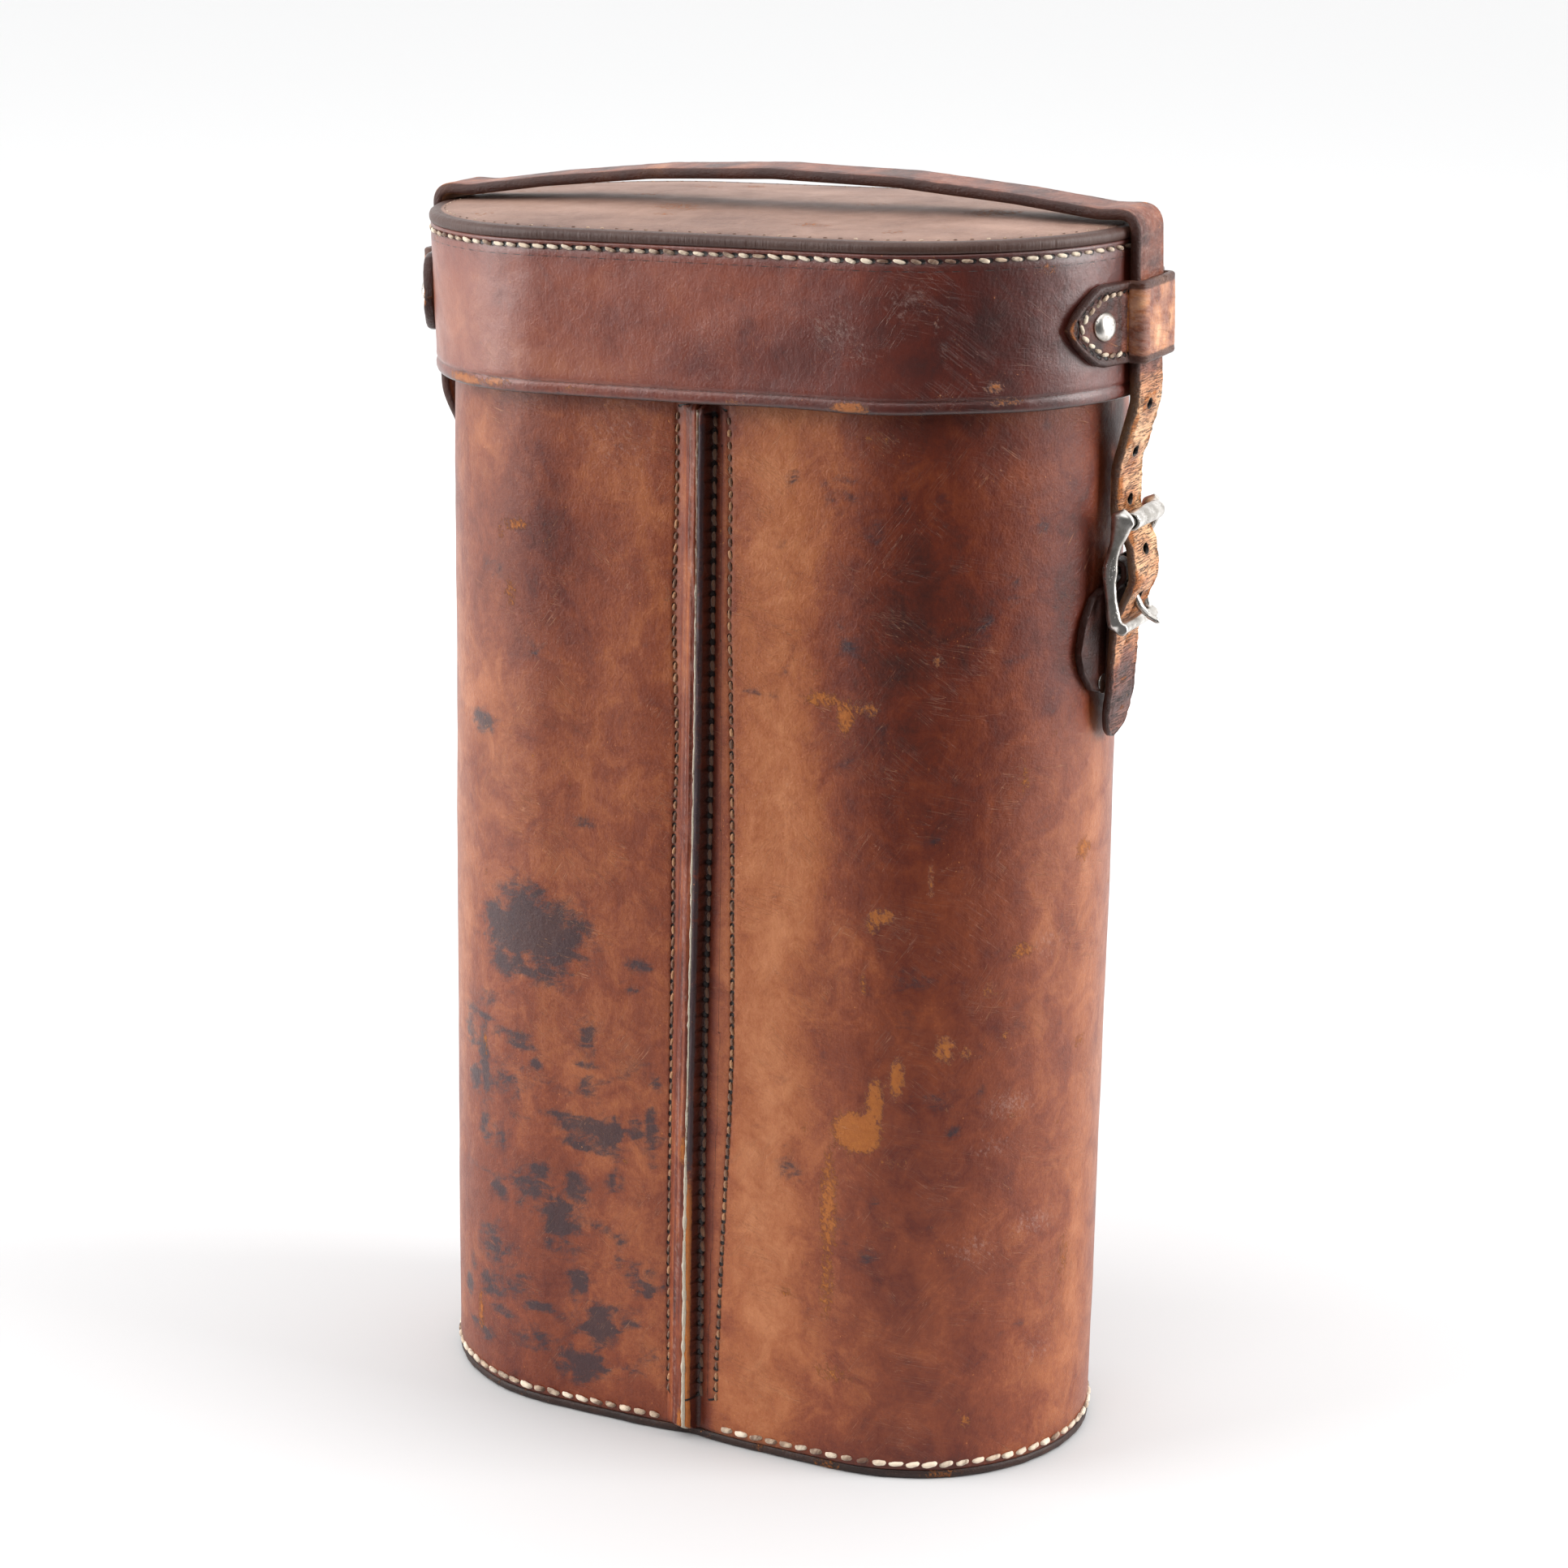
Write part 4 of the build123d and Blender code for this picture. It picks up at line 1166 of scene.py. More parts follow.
def cut(piece, vertices, faces):
    """Cuts closed shapes out of a piece."""
    tool = finish_mesh("cutter", vertices, faces, piece.data.materials[0], smooth_shade=False)
    knife = piece.modifiers.new("cut", "BOOLEAN")
    knife.operation = "DIFFERENCE"
    knife.solver = "EXACT"
    knife.object = tool
    applied(piece)
    mesh = tool.data
    bpy.data.objects.remove(tool)
    bpy.data.meshes.remove(mesh)
    return piece


def rod(path, radii, flat=1.0, side=(0, 1, 0)):
    """A round bar along a path of points, its section squeezed by flat across side."""
    path = np.asarray(path, float)
    tangent, _ = frames(path)
    sides = np.broadcast_to(np.asarray(side, float), path.shape)
    ups = np.cross(tangent, sides)
    ups /= np.linalg.norm(ups, axis=1, keepdims=True)
    radii = np.asarray(radii, float) * np.ones(len(path))
    return solid_tube(tube(path, sides, ups, radii * flat, radii, 18))


def cross_bar(spot, radius, half):
    """A straight bar across the buckle, thickened a little at its ends."""
    y = np.linspace(-half, half, 30)
    path = np.stack([spot[0] + 0 * y, y, spot[1] + 0 * y], 1)
    grow = radius * (1 + 0.18 * smooth(0.75, 1.0, np.abs(y) / half))
    return rod(path, grow, side=(1, 0, 0))


# ------------------------------------------------------------------ buckle and chape

ROLLER_LOW, ROLLER_HIGH = box_mm("buckle_roller")
# The bars run along y; each has its place as (x, z).
TOP_BAR = tuple((ROLLER_LOW + ROLLER_HIGH)[[0, 2]] / 2)
CENTRE_BAR = (TOP_BAR[0] - 5.1, TOP_BAR[1] - 15.0)
BOTTOM_BAR = (TOP_BAR[0] - 0.7, TOP_BAR[1] - 29.5)
ROLLER_RADIUS = (ROLLER_HIGH[0] - ROLLER_LOW[0]) / 2
BAR_Y = box_mm("buckle_frame")[1][1] - 1.5


def buckle_frame():
    """A cast frame: swelling side bars that dip in to the centre bar, and three bars across."""
    tx, tz = TOP_BAR
    spine = [(tx - x, tz + z) for x, z in (
        (1.3, 3.8), (2.3, -3.0), (4.2, -9.0), (5.0, -14.2), (4.2, -21.0), (3.4, -26.0)
    )]
    spine.append((BOTTOM_BAR[0] - 1.6, BOTTOM_BAR[1] - 1.0))
    path = rounded(spine, 90, 60)
    _, run = frames(path)
    t = run / run[-1]
    ends = np.sqrt(np.clip(smooth(0, 0.075, t) * smooth(1.0, 0.94, t), 0.02, 1))
    stations = (0, 0.1, 0.18, 0.3, 0.42, 0.52, 0.62, 0.75, 0.9, 1)
    width = np.interp(t, stations, (3.3, 3.25, 2.75, 1.8, 1.85, 2.35, 1.85, 1.7, 2.15, 2.1)) * ends
    thick = np.interp(t, (0, 0.1, 0.2, 0.5, 0.85, 1), (1.6, 1.6, 1.3, 1.35, 1.3, 1.4)) * ends
    parts = []
    for face in (-1, 1):
        line = np.stack([path[:, 0], face * BAR_Y + 0 * t, path[:, 1]], 1)
        tangent, _ = frames(line)
        sides = np.broadcast_to(np.array([0.0, 1, 0]), line.shape)
        parts.append(solid_tube(tube(line, sides, np.cross(tangent, sides), thick, width, 24)))
    for spot, radius in ((TOP_BAR, 1.45), (CENTRE_BAR, 1.35), (BOTTOM_BAR, 1.6)):
        parts.append(cross_bar(spot, radius, BAR_Y + 0.6))
    piece = fused("buckle_frame_metal", parts, 0.38, NICKEL, 5)
    return place(piece, "buckle", "nickel", "buckle_frame")


def buckle_roller():
    """A rolled tube with its lengthwise seam, turned in a little at the ends."""
    half = ROLLER_HIGH[1]
    inner = ROLLER_RADIUS - 0.72
    lip = [(ROLLER_RADIUS - 0.35, -half), (ROLLER_RADIUS - 0.08, -half + 0.18), (ROLLER_RADIUS, -half + 0.6)]
    profile = lip + [(ROLLER_RADIUS - 0.05, y) for y in np.linspace(-half + 1.6, half - 1.6, 22)]
    profile += [(radius, -y) for radius, y in lip[::-1]]
    profile += [(inner, half - 0.1), (inner, 0), (inner, -half + 0.1)]
    profile = np.array(profile)
    angle = np.linspace(0, 2 * pi, 72, endpoint=False)
    seam = 0.3 * bump(np.mod(angle - 0.6 + pi, 2 * pi) - pi, 0, 0.09)
    r = profile[:, 0:1] - seam[None] * (profile[:, 0:1] > inner + 0.1)
    x = TOP_BAR[0] + r * np.cos(angle)[None]
    z = TOP_BAR[1] + r * np.sin(angle)[None]
    y = profile[:, 1:2] + 0 * x
    rings = np.stack([x, y, z], -1)
    faces = grid_faces(len(profile), 72, close_rows=True)
    piece = finish_mesh("buckle_roller_metal", rings.reshape(-1, 3), faces, NICKEL)
    return place(weld(piece, FINE_WELD), "roller", "nickel", "buckle_roller")


def buckle_tongue():
    """A pin with an eye round the centre bar, through the strap and over the bottom bar."""
    cx, cz = CENTRE_BAR
    bx, bz = BOTTOM_BAR
    corners = (
        (cx + 0.6, cz - 2.0), (cx + 2.5, cz - 5.7), (bx + 0.9, bz + 3.9), (bx + 3.4, bz + 1.9),
        (bx + 6.7, bz + 0.3)
    )
    way = filleted(corners, [3, 4, 4], 0.35)
    _, run = frames(way)
    t = run / run[-1]
    radius = np.interp(t, (0, 0.5, 0.62, 0.8, 0.95, 1), (1.15, 1.15, 1.0, 0.95, 0.85, 0.5))
    line = np.stack([way[:, 0], 0 * t, way[:, 1]], 1)
    pin = rod(line, radius, flat=1.12)
    angle = np.linspace(0, 2 * pi, 40, endpoint=False)
    eye, gauge = 2.15, 0.66
    turn = np.linspace(0, 2 * pi, 14, endpoint=False)
    ring = np.stack([
        cx + (eye + gauge * np.cos(turn)[None]) * np.cos(angle)[:, None],
        1.15 * np.sin(turn)[None] + 0 * angle[:, None],
        cz + (eye + gauge * np.cos(turn)[None]) * np.sin(angle)[:, None],
    ], -1)
    loop = (ring.reshape(-1, 3), grid_faces(40, 14, close_rows=True))
    piece = fused("buckle_tongue_metal", [pin, loop], 0.26, NICKEL, 3)
    return place(piece, "tongue", "nickel", "buckle_tongue")


def leather_strip(name, rings, facts, material):
    """A strip of leather from its rings and the facts of each point."""
    rows, around, _ = rings.shape
    vertices, faces = solid_tube(rings)
    filled = {}
    for key, value in facts.items():
        is_vector = key in ("lay", "row")
        filled[key] = value.reshape(-1, 3) if is_vector else np.ravel(value + np.zeros((rows, around)))
    filled.setdefault("row", no_row(rows * around))
    piece = finish_mesh(name, vertices, faces, material, filled)
    return weld(piece, FINE_WELD)


def chape():
    """A shield of leather riveted to the rounded end, and the fold that holds the buckle's centre bar."""
    reach = box_mm("chape")[1][1]
    radius = END_RADIUS + 1.25
    y = np.linspace(-reach + 0.05, reach - 0.05, 66)
    angle = np.arcsin(y / (END_RADIUS + 2.2))
    centres = np.stack([FLAT + radius * np.cos(angle), radius * np.sin(angle), 0 * y], 1)
    top = np.interp(np.abs(y) / reach, (0, 0.55, 0.75, 0.92, 1), (256, 256, 254, 248, 241))
    foot = np.interp(np.abs(y) / reach, (0, 0.3, 0.7, 0.92, 1), (224.5, 225.5, 228, 233, 238))
    centres[:, 2] = (top + foot) / 2
    ups = np.stack([np.cos(angle), np.sin(angle), 0 * y], 1)
    sides = np.broadcast_to(np.array([0.0, 0, 1]), centres.shape)

    def pucker(edge, x):
        return 0.35 * bump(edge, 0.8, 0.9) - 0.3 * bump(edge, 2.6, 0.6)

    rings, edge, _, face = strip(centres, sides, ups, (top - foot) / 2, 2.1 + 0 * y, 17, 0.9, pucker)
    shield_lay = np.stack([y[:, None] + 0 * edge, rings[..., 2], face * 2], -1)
    parts = [(rings, edge, shield_lay, face)]

    cx, cz = CENTRE_BAR
    back = BODY_END + 1.0
    over_bar = ((-2.6, -3.2), (-2.5, 2.0), (0, 3.2), (2.4, 2.0), (2.6, -1.6), (-0.2, -5.0))
    fold = [(back + 0.1, 231.0), (back + 0.15, 246.0)] + [(cx + x, cz + z) for x, z in over_bar]
    fold += [(back + 2.0, 246.0), (back + 1.9, 229.6)]
    path = filleted(fold, [4, 4, 2, 2, 2, 2, 3, 4], 0.5)
    tangent, run = frames(path)
    centres = np.stack([path[:, 0], 0 * run, path[:, 1]], 1)
    sides = np.broadcast_to(np.array([0.0, 1, 0]), centres.shape)
    ups = np.stack([-tangent[:, 1], 0 * run, tangent[:, 0]], 1)
    rings2, edge2, across2, face2 = strip(centres, sides, ups, 7.3 + 0 * run, 1.5 + 0 * run, 11, 0.6)
    fold_lay = np.stack([across2 + 60, run[:, None] + 0 * edge2, face2 * 2], -1)
    parts.append((rings2, edge2, fold_lay, face2))

    vertices, faces = join([solid_tube(r) for r, *_ in parts])
    rim = np.concatenate([np.ravel(bump(e, 0, 1.0)) for _, e, _, _ in parts])
    facts = {
        "lay": np.concatenate([lay.reshape(-1, 3) for _, _, lay, _ in parts]),
        # Painted shade: the chape takes the darkest tone and half the burnished colour, standing for the
        # shade behind the buckle; its rims are real burnished edges.
        "edge": 0.5 + rim * 0.4,
        "tone": 1.0 + 0.2 * fbm(vertices[:, 1] / 9, vertices[:, 2] / 9, seed=91),
        "scuff": np.clip(0.5 * fbm(vertices[:, 1] / 4, vertices[:, 2] / 5, seed=92) - 0.2, 0, 1),
        "row": no_row(len(vertices)),
    }
    piece = weld(finish_mesh("chape_leather", vertices, faces, STRAP_LEATHER, facts), FINE_WELD)
    # The slot that the tongue turns in.
    spans = ((cx - 0.6, cx + 8.6), (-1.75, 1.75), (cz - 3.6, cz + 4.8))
    box = np.array([(x, yy, zz) for x in spans[0] for yy in spans[1] for zz in spans[2]])
    quads = [[0, 1, 3, 2], [4, 6, 7, 5], [0, 4, 5, 1], [2, 3, 7, 6], [0, 2, 6, 4], [1, 5, 7, 3]]
    cut(piece, box, quads)
    return place(piece, "case", "strap_leather", "chape")


def domes(name, centres, normals, head, height, seed, body, *nodes):
    """Domed rivet heads with a thin skirt, each a little differently battered."""
    parts = []
    draw = seeded(seed)
    for centre, normal in zip(centres, normals):
        normal = np.asarray(normal, float) / np.linalg.norm(normal)
        u = np.cross(normal, (0, 0, 1.0))
        u /= np.linalg.norm(u)
        v = np.cross(normal, u)
        angle = np.linspace(0, 2 * pi, 36, endpoint=False)
        profile = [
            (1.0, -0.2), (1.02, 0.1), (0.985, 0.28), (0.9, 0.52), (0.75, 0.75), (0.55, 0.9), (0.33, 0.975),
            (0.12, 1.0)
        ]
        dent = draw.normal(0, 0.02, 4)
        rings = []
        for r, h in profile:
            oval = dent[0] * np.cos(2 * angle + dent[2] * 50)
            wobble = 1 + oval + dent[1] * np.cos(3 * angle + dent[3] * 50)
            lift = h * height * (1 + 0.03 * np.cos(angle + dent[3] * 60) * r)
            spread = r * head * wobble
            flat = np.outer(spread * np.cos(angle), u) + np.outer(spread * np.sin(angle), v)
            rings.append(centre + flat + lift[:, None] * normal)
        parts.append(solid_tube(np.array(rings)))
    vertices, faces = join(parts)
    piece = weld(finish_mesh(name, vertices, faces, NICKEL, {"lay": vertices}), FINE_WELD)
    return place(piece, body, "nickel", *nodes)


# ------------------------------------------------------------------ lid

# Marks as above, with the height counted from the lid's seat.
# The first, second, fourth and fifth marks paint the band lighter at the left and darker at the right: a
# painted highlight and painted shade of the light falling from the left.
LID_TONES = (
    (-50, -2, 70, 30, -0.2), (84, 4, 36, 26, 0.24), (30, 5, 60, 14, -0.02), (-90, 0, 24, 30, -0.14),
    (95, 6, 30, 22, 0.12), (20, -8, 26, 9, 0.12), (-20, 10, 30, 8, -0.06),
)
LID_SCUFFS = (
    (46, -18.6, 5, 1.6, 1.0), (-76, -18.2, 9, 1.5, 0.9), (-62, -17.6, 5, 1.4, 0.8), (85, -13, 3, 1.5, 0.7),
    (88, -17, 6, 1.2, 0.6), (-36, -18, 4, 1, 0.6), (12, -18.8, 3, 1, 0.6), (70, 4, 1.6, 4, 0.4),
    (-94, 18, 4, 2, 0.5), (100, 17, 4, 2, 0.5),
)
LID_BLOOMS = (
    (42, 2, 8, 5, 0.5), (50, -4, 5, 4, 0.4), (62, 10, 6, 5, 0.5), (-92, -12, 6, 5, 0.5), (28, 12, 5, 3, 0.35)
)


def lid_band():
    """The deep side of the lid, with a pressed bead above its rim and a sewn row under the top."""
    outer = [
        (-2.7, BAND_RIM), (-0.9, BAND_RIM), (-0.25, -19.6), (0.0, -18.8), (0.04, -17.6), (-0.12, -16.9),
        (-0.42, -16.4), (-0.1, -15.8), (0.02, -15.2)
    ]
    outer += [(0.0, w) for w in np.arange(-14.2, 18.6, 1.4)]
    outer += [(-0.08, 19.3), (-0.4, 20.0), (-0.42, 20.6), (-0.1, 21.2), (-0.1, BAND_TOP)]
    inner = [(-LID_WALL, w) for w in np.linspace(BAND_TOP, -19.6, 14)] + [(-LID_WALL + 0.35, BAND_RIM)]
    profile = np.array(outer + inner)
    point, normal, s = LID.loop(1.4)
    out, w = profile[:, 0:1], profile[:, 1:2]
    visible = (np.arange(len(profile)) < len(outer))[:, None]
    signed = np.where(s < LID.length, s, s - 2 * LID.length)[None]
    swell = (0.3 * fbm(signed / 37, w / 22, seed=101) + 0.1 * fbm(signed / 9, w / 9, seed=102)) * visible
    rim_wave = 0.3 * noise(signed / 26, 0.0, seed=103) * smooth(-12, -20, w)
    plan = point[None] + normal[None] * (out + swell)[..., None]
    local = np.concatenate([plan, (w + rim_wave)[..., None]], 2)
    vertices = lid_to_world(local).reshape(-1, 3)
    rows, around = len(profile), len(s)

    away = np.abs(signed) + 0 * w
    side_s = signed + 0 * w
    tone = (
        0.5 + 0.12 * fbm(side_s / 50, w / 20, seed=104) + 0.16 * smooth(-13, -19, w) + 0.1 * smooth(15, 20, w)
    )
    for s0, w0, ws, ww, strength in LID_TONES:
        tone = tone + strength * bump(side_s, s0, ws) * bump(w, w0, ww)
    behind = smooth(135, 165, away)
    back_scuffs = scattered(22, 111, (140, -19), (410, 18), (1.2, 4), 0.7)
    back_blooms = scattered(7, 112, (140, -14), (410, 16), (4, 9), 0.6)
    trip = np.where(side_s < 0, side_s + 2 * LID.length, side_s)
    scuff = np.maximum(marked(LID_SCUFFS, side_s, w), marked(back_scuffs, trip, w))
    scuff = np.maximum(scuff, 0.55 * np.clip(fbm(side_s / 14, 1.0, seed=105), 0, 1) * smooth(-18.2, -19.8, w))
    bloom = np.maximum(marked(LID_BLOOMS, side_s, w), marked(back_blooms, trip, w))
    tone = tone + behind * 0.14 * fbm(side_s / 30, w / 30, seed=106)
    across = np.where(w > 17, w - 20.25, NO_ROW)
    bead = bump(w, -16.4, 0.55)
    facts = {
        "lay": np.stack([side_s, w + 0 * side_s, out * 4 + 0 * side_s], -1),
        "row": np.stack([across + 0 * side_s, side_s / 4.4, np.full_like(side_s, 5.0)], -1),
        "tone": tone, "scuff": scuff * visible, "bloom": bloom * visible,
        "edge": np.clip(0.85 * smooth(-18.9, -19.9, w) + 0.55 * bead, 0, 1) * visible + 0 * side_s,
        "inside": ~visible + 0 * side_s,
        "stain": 0.35 * bump(w, -19.5, 1.0) * visible + 0 * side_s,
    }
    faces = grid_faces(rows, around, close_rows=True)
    piece = finish_mesh("lid_band_leather", vertices, faces, LID_LEATHER, flattened(facts))
    return place(weld(piece, FINE_WELD), "lid", "lid_leather", "lid_band")


def lid_top():
    """The lid's crown: a disc with a dark rounded edge, a creased border and a slightly uneven dome."""
    rim = [(-1.2, 0.03), (-0.2, 0.1), (0.25, 0.5), (0.42, 1.2), (0.4, 2.0), (0.12, 2.7)]
    rim = [(out, BAND_TOP + w) for out, w in rim] + [(-0.5, LID_CROWN - 0.05), (-1.3, LID_CROWN + 0.05)]
    rings = 46

    def crown(k, x, y):
        inset = (1 - k) * LID_RADIUS
        dome = 1.5 * (1 - k ** 2.2)
        return (
            dome - 0.42 * bump(inset, 1.9, 0.55) + 0.28 * fbm(x / 42, y / 30, seed=121) * smooth(2, 12, inset)
        )

    levels, _ = disc_rings(LID, 1.6, rim, rings, crown)
    rows, around, _ = levels.shape
    depth = np.r_[np.zeros(rings + len(rim)), np.arange(1, rings + 1)]
    inset = (depth / rings * LID_RADIUS)[:, None] + np.zeros((rows, around))
    lower = (np.arange(rows) < rings)[:, None]
    on_rim = ~lower & (depth == 0)[:, None]
    vertices = lid_to_world(levels).reshape(-1, 3)
    x, y = levels[..., 0], levels[..., 1]
    scuff = marked(scattered(18, 122, (-95, -50), (95, 50), (2, 8), 0.55), x, y) * smooth(4, 8, inset)
    bloom = marked(scattered(10, 123, (-90, -45), (90, 45), (8, 20), 0.8), x, y)
    facts = {
        "lay": np.stack([x, y, 40 + 0 * x], -1),
        "tone": 0.42 + 0.2 * fbm(x / 45, y / 25, seed=124) + 0.14 * smooth(7, 2, inset),
        "scuff": scuff, "bloom": np.maximum(bloom, 0.35 * ~lower),
        "edge": np.maximum(1.0 * on_rim, 0.9 * smooth(2.2, 1.2, inset) * (~on_rim) * (~lower)) + 0 * x,
        "inside": 1.0 * lower + 0 * x,
        "row": np.full((rows, around, 3), NO_ROW),
    }
    piece = finish_mesh("lid_top_leather", vertices, grid_faces(rows, around), TOP_LEATHER, flattened(facts))
    return place(weld(piece), "lid", "lid_leather", "lid_top")


def lid_rows():
    """The cream row under the lid's top, and the faint small one inside the top's border."""
    point, normal, _ = LID.loop(0.6)
    point, normal = np.concatenate([point, point[:1]]), np.concatenate([normal, normal[:1]])
    w = 20.3 + 0.12 * noise(np.arange(len(point)) / 15.0, 1.0, seed=131)
    side_path = lid_to_world(np.concatenate([point + normal * -0.25, w[:, None]], 1))
    up = lid_directions([(0, 0, 1.0)])[0]
    flat_normal = lid_to_world(np.concatenate([point + normal * 10, w[:, None]], 1)) - side_path
    rows = [sew(side_path, flat_normal, 4.4, 3.3, 0.54, -0.16, 132, sink=0.3)]
    top_path = lid_to_world(np.concatenate([point - normal * 4.1, (LID_CROWN + 0.1 + 0 * w)[:, None]], 1))
    vertices, faces, lay, pick = sew(
        top_path, np.broadcast_to(up, top_path.shape).copy(), 4.4, 1.3, 0.24, 0.1, 133, sink=0.5
    )
    rows.append((vertices, faces, lay, pick + 0.6))
    return sewn_piece("lid_saddle_stitches", rows, CREAM_THREAD, "lid", "linen_thread", "lid_thread")


# ------------------------------------------------------------------ keepers

KEEPER_REACH = box_mm("keeper_right")[1][1]
KEEPER = 2.3
KEEPER_HALF = 11.0
KEEPER_RIVET_Y = 22.0
KEEPER_W = 0.6
STRAP_OUT = LID_END + 0.35 + 1.6


def keeper_path():
    """The keeper's middle line in plan on the right side, tip to tip, with its distance from the middle."""
    radius = LID_RADIUS + 0.05 + KEEPER / 2
    half, depth = 9.9 + KEEPER / 2, LID_END + 0.35 + 3.2 + 0.4 + KEEPER / 2
    angle = np.linspace(np.arcsin(KEEPER_REACH / (radius + 1.0)), np.arcsin((half + 2.6) / radius), 12)
    tab = [(FLAT + radius * np.cos(a), -radius * np.sin(a)) for a in angle]
    loop = [(FLAT + np.sqrt(radius ** 2 - half ** 2) + 0.2, -half), (depth, -half)]
    lower = tab + loop
    corners = lower + [(x, -y) for x, y in lower[::-1]]
    radii = [6.0] * 11 + [1.7] * 4 + [6.0] * 11
    return filleted(corners, radii, 0.6)


def keeper(name, side):
    """A loop over the strap with two pointed tabs, creased round their borders."""
    path = keeper_path()
    tangent, run = frames(path)
    middle = run[-1] / 2
    from_tip = np.minimum(run, run[-1] - run)
    half = (
        KEEPER_HALF
        * np.interp(from_tip, (0, 0.5, 2, 4.5, 7, 9.5, 12.5), (0.05, 0.12, 0.36, 0.6, 0.78, 0.93, 1.0))
    )
    u = side * path[:, 0]
    centres = lid_to_world(np.stack([u, side * path[:, 1], KEEPER_W + 0 * u], 1))
    outward = lid_directions(np.stack([side * tangent[:, 1], -side * tangent[:, 0], 0 * u], 1))
    sides = np.broadcast_to(lid_directions([(0, 0, 1.0)])[0], centres.shape)
    on_tab = from_tip < 24

    def relief(edge, x):
        tab = on_tab[:, None]
        border = 0.5 * smooth(2.5, 1.6, edge) - 0.4 * bump(edge, 2.9, 0.5)
        return (
            np.where(tab, border, -0.12 * bump(edge, 1.7, 0.5)) + 0.1 * fbm(x / 3, run[:, None] / 3, seed=141)
        )

    thick = KEEPER * np.interp(from_tip, (0, 2), (0.7, 1.0))
    rings, edge, across, face = strip(centres, sides, outward, half, thick, 21, 0.95, relief)
    tip_edge = np.minimum(edge, from_tip[:, None] * 0.75)
    band = np.abs(run - middle)[:, None]
    corner = bump(band, 11.0 + 4.2, 1.0)
    dark = np.clip(smooth(3.4, 1.6, tip_edge), 0, 1)
    valley = bump(band, 19.6, 1.6)
    outer = smooth(16, 13, band)
    shown = np.clip(face, 0, 1)
    rubbed = np.clip(fbm(across / 5, run[:, None] / 4, seed=143), 0, 1)
    stitched = np.where(on_tab[:, None], (tip_edge - 2.6) * 1.2, NO_ROW)
    facts = {
        "lay": np.stack([0.55 * run[:, None] + 0 * edge + 300, across, face * 2], -1),
        "edge": np.clip(dark * (1 - 0.25 * outer) + 0.75 * valley, 0, 1),
        "tone": 0.76 - 0.36 * outer + 0.22 * fbm(across / 6, run[:, None] / 5, seed=142),
        "bloom": 0.75 * outer + 0 * edge,
        "scuff": np.clip(0.85 * corner * shown + 0.5 * outer * rubbed, 0, 1),
        "wear": 0.7 * bump(from_tip, 1.0, 1.6)[:, None] * shown,
        "row": np.stack([stitched, run[:, None] / 2.6 + 0 * edge, 3.8 + 0 * edge], -1),
        "inside": smooth(-0.7, -1.0, face) * 0.7,
    }
    piece = leather_strip(f"{name}_leather", rings, facts, STRAP_LEATHER)
    keeper_stitching(name, side)
    return place(piece, "lid", "strap_leather", name)


def tab_surface(side, sign, y, w, lift):
    """Places on a keeper's tab, at distance y from the strap's line and height w, and their normals."""
    radius = LID_RADIUS + 0.05 + KEEPER
    angle = np.arcsin(y / radius)
    out = radius + lift
    local = np.stack([side * (FLAT + out * np.cos(angle)), sign * out * np.sin(angle), KEEPER_W + w], -1)
    normal = np.stack([side * np.cos(angle), sign * np.sin(angle), 0 * angle], -1)
    return lid_to_world(local), lid_directions(normal)


def keeper_stitching(name, side):
    """The horseshoe of stitches inside the border of each tab."""
    rows = []
    for sign in (-1, 1):
        shield = [(14.6, 8.0), (21.0, 8.0), (25.2, 5.6), (28.6, 2.6)]
        line = rounded(shield + [(30.0, 0.0)] + [(y, -w) for y, w in shield[::-1]], 90, 30)
        path, normal = tab_surface(side, sign, line[:, 0], line[:, 1], -0.12)
        rows.append(sew(path, normal, 2.75, 2.5, 0.58, 0.28, 150 + 2 * side + sign, sink=0.3))
    return sewn_piece(f"{name}_stitches", rows, CREAM_THREAD, "lid", "linen_thread")


def keeper_rivets():
    """Four domed rivets, one on each keeper tab."""
    centres, normals = [], []
    for side in SIDES.values():
        for sign in (-1, 1):
            point, normal = tab_surface(side, sign, np.array([KEEPER_RIVET_Y]), np.array([0.0]), 0.0)
            centres.append(point[0])
            normals.append(normal[0])
    return domes("keeper_rivet_heads", centres, normals, 3.9, 1.9, 161, "lid", "keeper_rivets")


def chape_rivets():
    """Two flat domed rivets that hold the chape."""
    out = END_RADIUS + 2.25
    angles = [np.arcsin(y / out) for y in (-6.5, 6.5)]
    normals = [(cos(a), sin(a), 0) for a in angles]
    centres = [np.array([FLAT + out * cos(a), out * sin(a), 229.0]) for a in angles]
    return domes("chape_rivet_heads", centres, normals, 2.9, 0.6, 162, "case", "chape_rivets")


def anchor_rivets():
    """Four flat domed rivets through the strap's sewn-down end."""
    out = END_RADIUS + ANCHOR_THICK
    spots = [(np.arcsin(y / out), z) for y in (-5.5, 5.5) for z in (250.0, 229.0)]
    normals = [(-cos(a), sin(a), 0) for a, _ in spots]
    centres = [np.array([-FLAT - out * cos(a), out * sin(a), z]) for a, z in spots]
    return domes("anchor_rivet_heads", centres, normals, 2.9, 0.6, 163, "case", "anchor_rivets")


